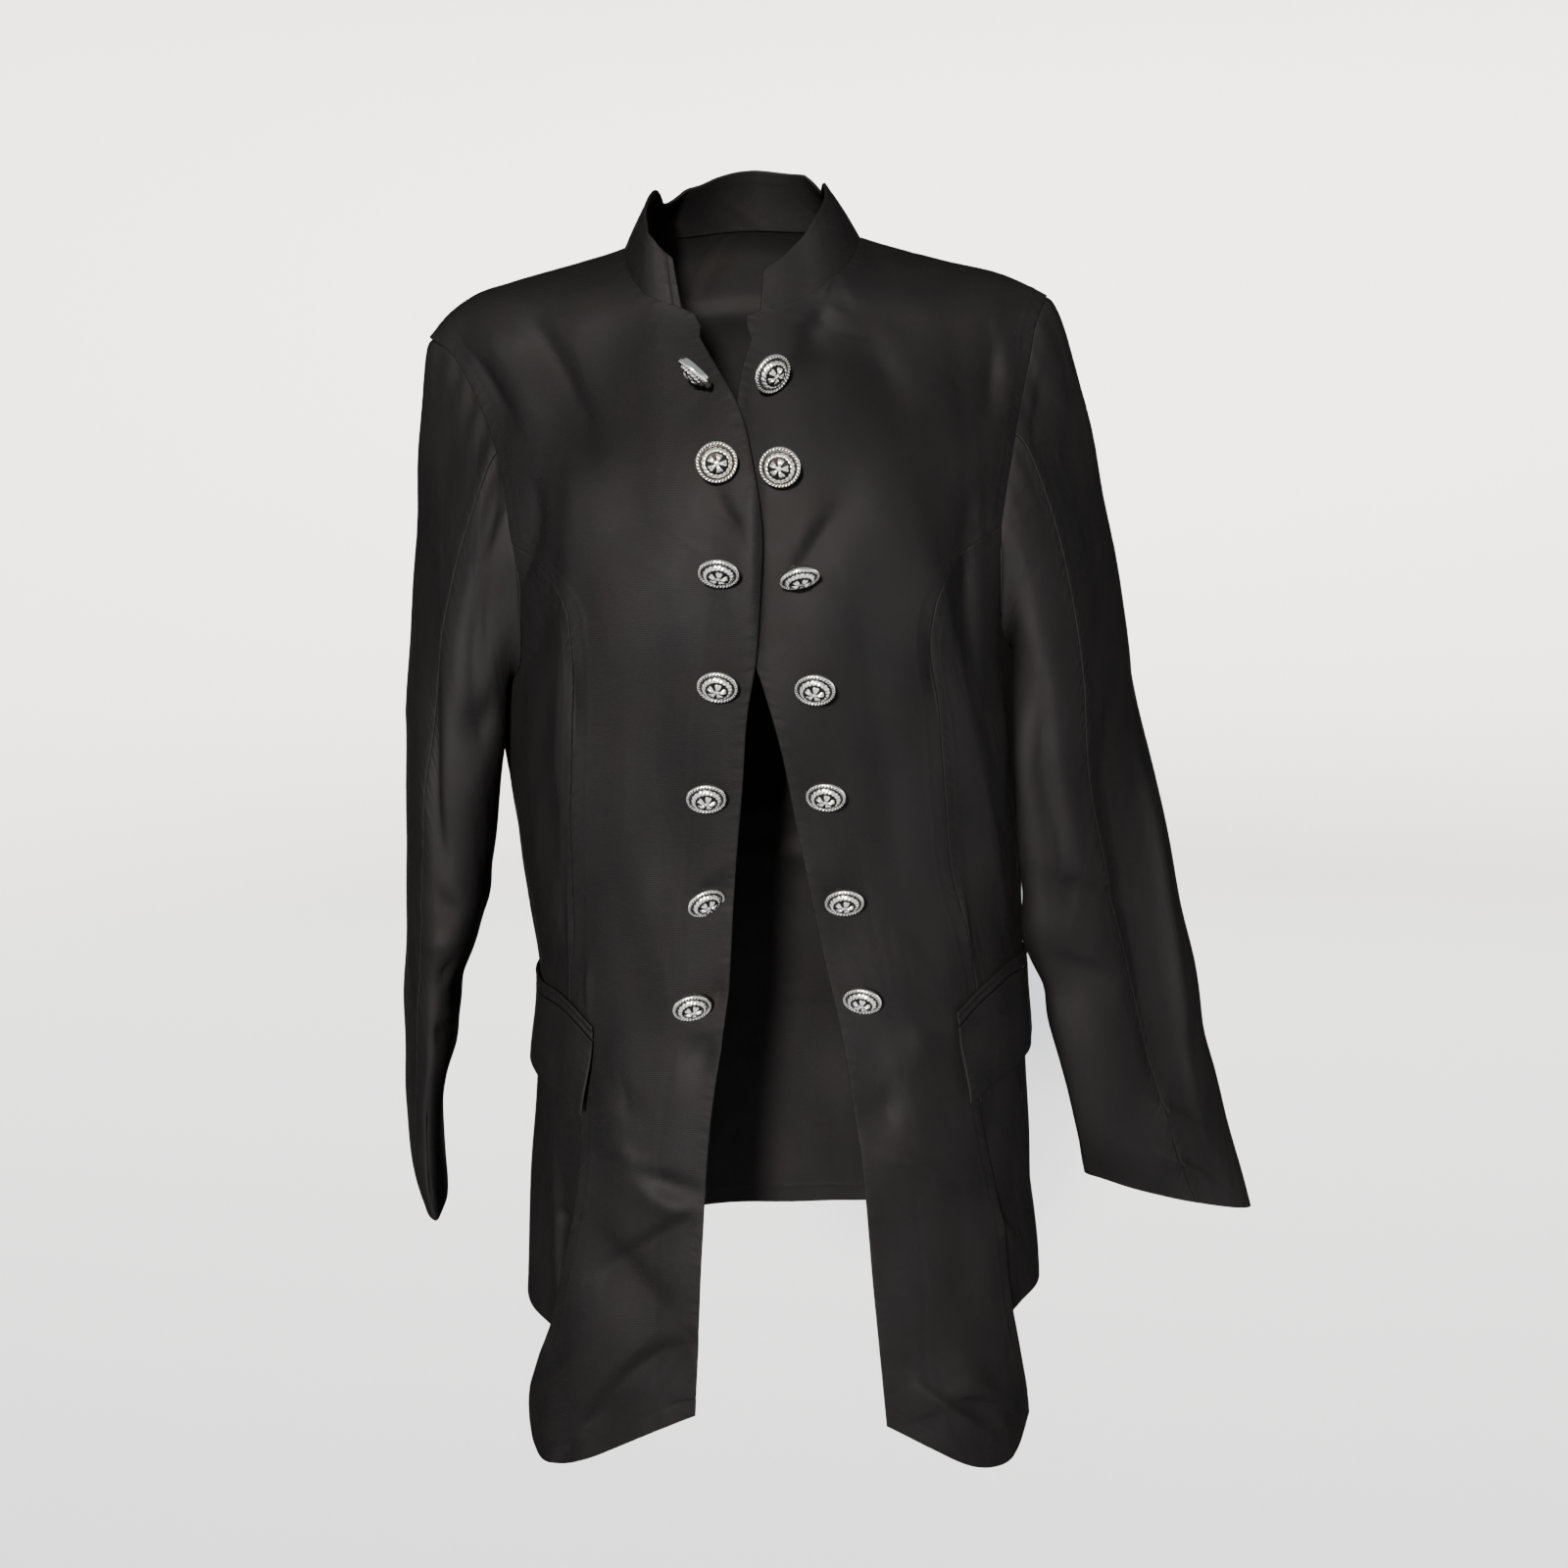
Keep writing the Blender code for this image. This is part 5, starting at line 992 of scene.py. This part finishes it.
for side, sign in SIDES.items():
    loop = armhole_loop(side)
    length = run(cloth(loop[:, 0], loop[:, 1])[None], 1)[0]
    total = length[-1]
    front_seam = float(np.interp(SLEEVE_SEAM_DROP, loop[:LOOP_POINTS, 1], length[:LOOP_POINTS]))
    back_seam = float(np.interp(SLEEVE_SEAM_DROP, loop[-LOOP_POINTS:, 1][::-1], length[-LOOP_POINTS:][::-1]))
    spans = {"upper": (back_seam - total, front_seam), "under": (front_seam, back_seam)}
    for part, (begin, end) in spans.items():
        place = (begin + (end - begin) * crowd(SLEEVE_COLUMNS[part])) % total
        line = np.stack([np.interp(place, length, loop[:, 0]), np.interp(place, length, loop[:, 1])], -1)
        surface = sleeve_surface(side, line, place / total * 2.0 * np.pi)
        surface = surface[:, ::-1] if sign > 0.0 else surface
        add_cloth("sleeve_%s_%s" % (part, side), surface, SLEEVE_WALL)

# Stand collar: a doubled band of black suiting, sewn to the neckline and open at the front. It
# leans in to the neck, and its right front end is rolled, so that a strip of its inside shows.
COLLAR_NAMES = ("share", "height_mm", "inward", "aside")
COLLAR_ROWS = {
    "left": (
        (0, 27, 0.34, 0.15), (0.15, 37, 0.34, 0.05), (0.35, 43, 0.45, 0), (0.55, 42, 0.68, 0),
        (1, 41, 0.32, 0),
    ),
    "right": (
        (0, 33, 0.34, 0.32), (0.15, 42, 0.38, 0.16), (0.35, 43, 0.55, 0), (0.55, 42, 0.78, 0),
        (0.7, 41, 0.95, 0), (0.85, 41, 0.6, 0), (1, 41, 0.32, 0),
    ),
}
COLLAR = read_sides(COLLAR_ROWS, COLLAR_NAMES)
NECK_AXIS = np.array([0.0, -0.004, 0.0])
COLLAR_WALL = 0.0022
COLLAR_UP = 34
COLLAR_ROUND = 170
COLLAR_CROWN = 0.0010
ROLL_WIDTH = 0.007


def neckline():
    """Points of the neckline from the left collar end round the back of the neck to the right one."""
    places = np.linspace(0.0, NECKLINE_ROWS, 60)
    ends = []
    for side in ("left", "right"):
        drops = front_steps(side, places)[1]
        ends.append(cloth(line_angles(EDGE, side, drops), drops))
    top = back_top_row(SHOULDER_STEPS + NAPE_STEPS * np.linspace(0.0, 1.0, 120))
    line = np.concatenate([ends[0][::-1], cloth(top[1:-1, 0], top[1:-1, 1]), ends[1]])
    length = run(line[None], 1)[0]
    place = crowd(COLLAR_ROUND, (), length[-1])
    return np.stack([np.interp(place, length, line[:, axis]) for axis in range(3)], -1), place / length[-1]


seat, place = neckline()
inward = unit((NECK_AXIS - seat) * np.array([1.0, 1.0, 0.0]))
share = 1.0 - np.abs(2.0 * place - 1.0)
height, lean, aside = [
    np.where(place < 0.5, *(smooth(share, COLLAR[s]["share"], COLLAR[s][name]) for s in SIDES))[:, None]
    for name in ("height", "inward", "aside")]
rise = inward * lean + np.array([0.0, 0.0, 1.0])
rise[:, 0] += np.sign(seat[:, 0]) * aside[:, 0]
rise = unit(rise)
seat = seat - rise * SEAM_TUCK
out = unit(np.cross(np.gradient(seat, axis=0), rise))
out = np.where(np.sum(out * inward, axis=-1, keepdims=True) > 0.0, -out, out)
up = crowd(COLLAR_UP)[::-1, None, None]
surface = seat + rise * height * up + out * COLLAR_CROWN * np.sin(np.pi * up)
marks = (("right", ROLL_WIDTH, -0.0006, 0.0012), ("top", ROLL_WIDTH, -0.0002, 0.0012))
add_cloth("collar", surface, COLLAR_WALL, marks)

# Pockets: on each side a piped welt of black suiting over a flap, sewn on across the panel seam.
# The flap is free at its foot, and its front corner stands off the panel.
POCKET_NAMES = ("share", "angle", "welt_mm", "hem_mm")
POCKET_ROWS = {
    "left": (
        (0, 40.5, 501, 560), (0.25, 52.5, 487, 554), (1, 91, 487, 546),
    ),
    "right": (
        (0, -45.5, 504, 560), (0.25, -53.5, 492, 556), (1, -91, 485, 548),
    ),
}
POCKET = read_sides(POCKET_ROWS, POCKET_NAMES)
WELT_HEIGHT = 0.010
WELT_RAISE = 0.0029
WELT_WALL = 0.0015
PIPING_DEPTH = 0.0008
FLAP_RAISE = 0.0035
FLAP_STAND = 0.0060
FLAP_WALL = 0.0020
FLAP_GAP = 0.0003
POCKET_COLUMNS = 110

for side, sign in SIDES.items():
    share = crowd(POCKET_COLUMNS)
    table = POCKET[side]
    angle = smooth(share, table["share"], table["angle"])
    welt = smooth(share, table["share"], table["welt"])
    hem = smooth(share, table["share"], table["hem"])
    flap = welt + WELT_HEIGHT + FLAP_GAP
    pieces = (("pocket_welt_", welt, welt + WELT_HEIGHT, 22, WELT_WALL),
              ("pocket_flap_", flap, hem, 44, FLAP_WALL))
    for name, top, bottom, count, wall in pieces:
        fall = crowd(count)[:, None]
        drop = top * (1.0 - fall) + bottom * fall
        if name == "pocket_welt_":
            lift = WELT_RAISE + PIPING_DEPTH * (np.abs(np.sin(2.0 * np.pi * fall)) - 0.5) + 0.0 * share
        else:
            stand = ease(fall) * (0.35 + 0.65 * (1.0 - ease(share * 2.5)))
            lift = FLAP_RAISE + FLAP_STAND * stand
        surface = cloth(np.broadcast_to(angle, drop.shape), drop, lift)
        surface = surface if sign > 0.0 else surface[:, ::-1]
        marks = (("bottom", 0.0055, -0.0002, 0.0009),) if name == "pocket_flap_" else ()
        add_cloth(name + side, surface, wall, marks)

# Buttons: fourteen domed buttons of nickel-plated brass in two rows, struck with a rope rim, a wreath
# and a plain five-petal rosette, with a skirt behind. Each hangs on a shank, sewn to the front.
BUTTON_NAMES = ("x_mm", "drop_mm", "droop", "swing")
BUTTON_ROWS = {
    "left": (
        (14.5, 94.5, 40, 50), (18, 147, 15, -45), (24, 206, 58, 2), (33, 274, 38, -20),
        (37, 342, 41, -24), (45, 411, 42, -24), (55.5, 476, 42, -30),
    ),
    "right": (
        (-27.2, 94.5, 78, -42), (-18, 144, 12, 45), (-18, 203, 46, 0), (-23.5, 270, 36, -5),
        (-32.5, 340, 38, 17), (-39.5, 408, 41, 25), (-48, 476, 41, 28),
    ),
}
BUTTON_RADIUS = 0.0125
BUTTON_CLEAR = 0.0008
BUTTON_DEPTH = 0.0026
BUTTON_HANG = 0.35

# Section of a button in mm, from the middle of its back round the skirt and rim to the top of the dome.
BUTTON_SECTION = (
    (0, -1.6), (6, -1.7), (9.2, -2), (9.8, -2.6), (10.4, -2.2), (11.4, -1), (12.2, 0.2), (12.5, 1),
    (12.2, 2), (11.4, 2.4), (10.6, 2.1), (10.1, 1.5), (9.6, 2), (8.5, 3.1), (6.2, 4.6), (3.5, 5.5),
    (0, 5.8),
)
SECTION_POINTS = 52
BUTTON_TURNS = 192
ROPE_STRANDS = 36.0
ROPE_BAND = (0.0102, 0.0125)
ROPE_HEIGHT = 0.00060
PETALS = 5.0
PETAL_BAND = (0.0014, 0.0064)
WREATH_RING = 0.0081
WREATH_WIDTH = 0.0011
WREATH_LEAVES = 18.0
RELIEF_HEIGHT = 0.00095
BOSS_RADIUS = 0.0017
BOSS_HEIGHT = 0.0006
SHANK_RADIUS = 0.0016
SHANK_ROWS = 14
SHANK_TURNS = 16

# Nickel plate on die-struck brass: a warm-grey mirror, bright on what stands up. Its colour is painted near
# black, and rougher, as painted shade in the hollows of the relief, between the rope strands, in the groove
# inside the rim, on the back and along the shank, mixed with fine random pitting. The relief is real, and
# fine pitting is also bump.
bright_nickel, tree, shader = new_material("struck_nickel_plated_brass")
hollow_shade = add_node(tree, "ShaderNodeAttribute", attribute_name="hollow_shade")
place_on = add_node(tree, "ShaderNodeTexCoord")
pitting = add_node(tree, "ShaderNodeTexNoise", {
    "Vector": place_on.outputs["Object"], "Scale": 1400.0, "Detail": 2.0})
# Painted shade: the hollow attribute, set in the relief's hollows, on the back and on the shank, plus a
# little random pitting, turns the colour near black.
pitting_and_shade = add_node(tree, "ShaderNodeMath", {
    0: pitting.outputs["Fac"], 1: 0.35, 2: hollow_shade.outputs["Fac"]}, operation="MULTIPLY_ADD")
darkened = add_node(tree, "ShaderNodeMapRange", {
    "Value": pitting_and_shade.outputs["Value"], "From Min": 0.30, "From Max": 0.85, "To Min": 0.0, "To Max": 1.0},
    interpolation_type="SMOOTHSTEP")
nickel_colour = add_node(tree, "ShaderNodeMix", {
    "Factor": darkened.outputs["Result"], "A": linear("#e2dfd8"), "B": linear("#1d1b19")},
    data_type="RGBA")
nickel_roughness = add_node(tree, "ShaderNodeMapRange", {
    "Value": darkened.outputs["Result"], "To Min": 0.20, "To Max": 0.55})
pit_bump = add_node(tree, "ShaderNodeBump", {
    "Height": pitting.outputs["Fac"], "Strength": 0.25, "Distance": 0.0001})
tree.links.new(nickel_colour.outputs["Result"], shader.inputs["Base Color"])
tree.links.new(nickel_roughness.outputs["Result"], shader.inputs["Roughness"])
tree.links.new(pit_bump.outputs["Normal"], shader.inputs["Normal"])
shader.inputs["Metallic"].default_value = 1.0


def button_relief(radius, turn, front):
    """Height of the struck front at each radius and turn, and how dark its colour is painted there as shade
    in the hollows.

    The rim is a rope: strands that lean as they go out. Inside it a wreath of small leaves, a bell
    curve across and a leaning wave round, goes about five notched petals and a round boss.
    """
    rope_share = np.clip((radius - ROPE_BAND[0]) / (ROPE_BAND[1] - ROPE_BAND[0]), 0.0, 1.0)
    strand = np.cos(0.5 * (ROPE_STRANDS * turn + 5.0 * rope_share)) ** 2
    rope = np.sin(np.pi * rope_share) * front
    across = np.cos(PETALS * turn)
    petal_share = np.clip((radius - PETAL_BAND[0]) / (PETAL_BAND[1] - PETAL_BAND[0]), 0.0, 1.0)
    arch = np.sin(np.pi * petal_share**0.8) * (1.0 - 0.45 * np.exp(-(((1.0 - across) / 0.06) ** 2)))
    petal = ease((across + 0.75) / 0.9) * arch
    lean = WREATH_LEAVES * turn + 2.2 * (radius - WREATH_RING) / WREATH_WIDTH
    wreath = np.exp(-(((radius - WREATH_RING) / WREATH_WIDTH) ** 4)) * (0.35 + 0.65 * np.cos(0.5 * lean) ** 2)
    leaf = np.maximum(petal, wreath) * front
    boss = np.clip(1.0 - (radius / BOSS_RADIUS) ** 2, 0.0, 1.0) * front
    height = ROPE_HEIGHT * strand * rope + RELIEF_HEIGHT * leaf + BOSS_HEIGHT * np.sqrt(boss)
    # Painted shade: darkness inside the rim where no leaf, petal or boss stands, in the gaps between rope
    # strands and along the groove inside the rim.
    inside = ease((0.0101 - radius) / 0.0006) * front
    hollow_shade = np.maximum(inside * (1.0 - np.clip(leaf * 1.7 + boss * 3.0, 0.0, 1.0)), rope * (1.0 - strand))
    groove = np.exp(-(((radius - 0.0101) / 0.0003) ** 2)) * front
    return height, np.clip(np.maximum(hollow_shade, groove), 0.0, 1.0)


def ring_faces(rows, columns, start, step=1):
    """Faces between rings of points that close round, with triangles to a first and a last point."""
    number = start + 1 + np.arange(rows * columns).reshape(rows, columns)
    wrapped = np.concatenate([number, number[:, :1]], axis=1)
    first, last = np.full(columns, start), np.full(columns, start + 1 + rows * columns)
    top = np.stack([first, wrapped[0, :-1], wrapped[0, 1:]], -1)
    foot = np.stack([wrapped[-1, :-1], last, wrapped[-1, 1:]], -1)
    return sum([part[:, ::step].tolist() for part in (top, quads_between(wrapped), foot)], [])


section = np.array(BUTTON_SECTION) * MM
section_length = run(section[None], 1)[0]
stations = np.linspace(0.0, section_length[-1], SECTION_POINTS)
profile = np.stack([smooth(stations, section_length, section[:, axis]) for axis in (0, 1)], -1)[1:-1]
front = (stations[1:-1] > section_length[7]).astype(float)[:, None]
turns = np.linspace(0.0, 2.0 * np.pi, BUTTON_TURNS, endpoint=False)
height, hollow_shade_map = button_relief(np.clip(profile[:, :1], 0.0, None), turns, front)
circle = np.stack([np.cos(turns), np.sin(turns)], -1)
for side in SIDES:
    for place, row in enumerate(zip(*read(BUTTON_ROWS[side], BUTTON_NAMES).values()), start=1):
        drop = np.array([row[1]])
        angle = angle_at(np.array([row[0]]), drop)
        seat = cloth(angle, drop, lap_lift(side, angle, drop))[0]
        normal = outward(cloth, angle, drop)[0]
        droop, swing = np.radians(row[2:])
        level = unit(normal * np.array([1.0, 1.0, 0.0]))
        beside = np.cross(np.array([0.0, 0.0, 1.0]), level)
        hang = np.cos(swing) * np.array([0.0, 0.0, -1.0]) + np.sin(swing) * beside
        facing = np.cos(droop) * level + np.sin(droop) * hang
        lean = float(facing @ normal)
        rise = BUTTON_RADIUS * np.sqrt(1.0 - lean**2) + BUTTON_DEPTH * abs(lean) + BUTTON_CLEAR
        centre = seat + (normal + (normal * normal[2] - np.array([0.0, 0.0, 1.0])) * BUTTON_HANG) * rise
        aside = unit(np.cross(np.array([0.0, 0.0, 1.0]), facing))
        upward = np.cross(facing, aside)
        spin = circle @ np.stack([aside, upward])
        rings = centre + spin[None] * profile[:, :1, None] + facing * (profile[:, 1:] + height)[..., None]
        poles = centre + facing * section[[0, -1], 1][:, None]
        body = np.concatenate([poles[:1], rings.reshape(-1, 3), poles[1:] + facing * BOSS_HEIGHT])
        neck = centre + facing * section[1, 1]
        foot = seat - normal * 0.0004
        bend = (neck + foot) * 0.5 - facing * 0.0008
        t = np.linspace(0.0, 1.0, SHANK_ROWS)[:, None]
        path = foot * (1 - t) ** 2 + bend * 2.0 * t * (1 - t) + neck * t**2
        heading = unit(np.gradient(path, axis=0))
        one = unit(np.cross(heading, aside))
        other = np.cross(heading, one)
        shank_turn = np.linspace(0.0, 2.0 * np.pi, SHANK_TURNS, endpoint=False)[None, :, None]
        ring = np.cos(shank_turn) * one[:, None] + np.sin(shank_turn) * other[:, None]
        tube = path[:, None] + SHANK_RADIUS * ring
        shank = np.concatenate([path[:1], tube.reshape(-1, 3), path[-1:]])
        faces = ring_faces(len(profile), BUTTON_TURNS, 0)
        faces += ring_faces(SHANK_ROWS, SHANK_TURNS, len(body), -1)
        name = "button_%s_%d" % (side, place)
        piece = add_piece(name + "_metal", np.concatenate([body, shank]), faces, bright_nickel)
        # Painted shade: 0.3 on the back of the button, none at the top of the dome, and 0.5 along the whole
        # shank under it.
        dark = np.concatenate([[0.3], hollow_shade_map.ravel(), [0.0], np.full(len(shank), 0.5)])
        piece.data.attributes.new("hollow_shade", "FLOAT", "POINT").data.foreach_set("value", dark)
        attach(piece, "root")
        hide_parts(name)
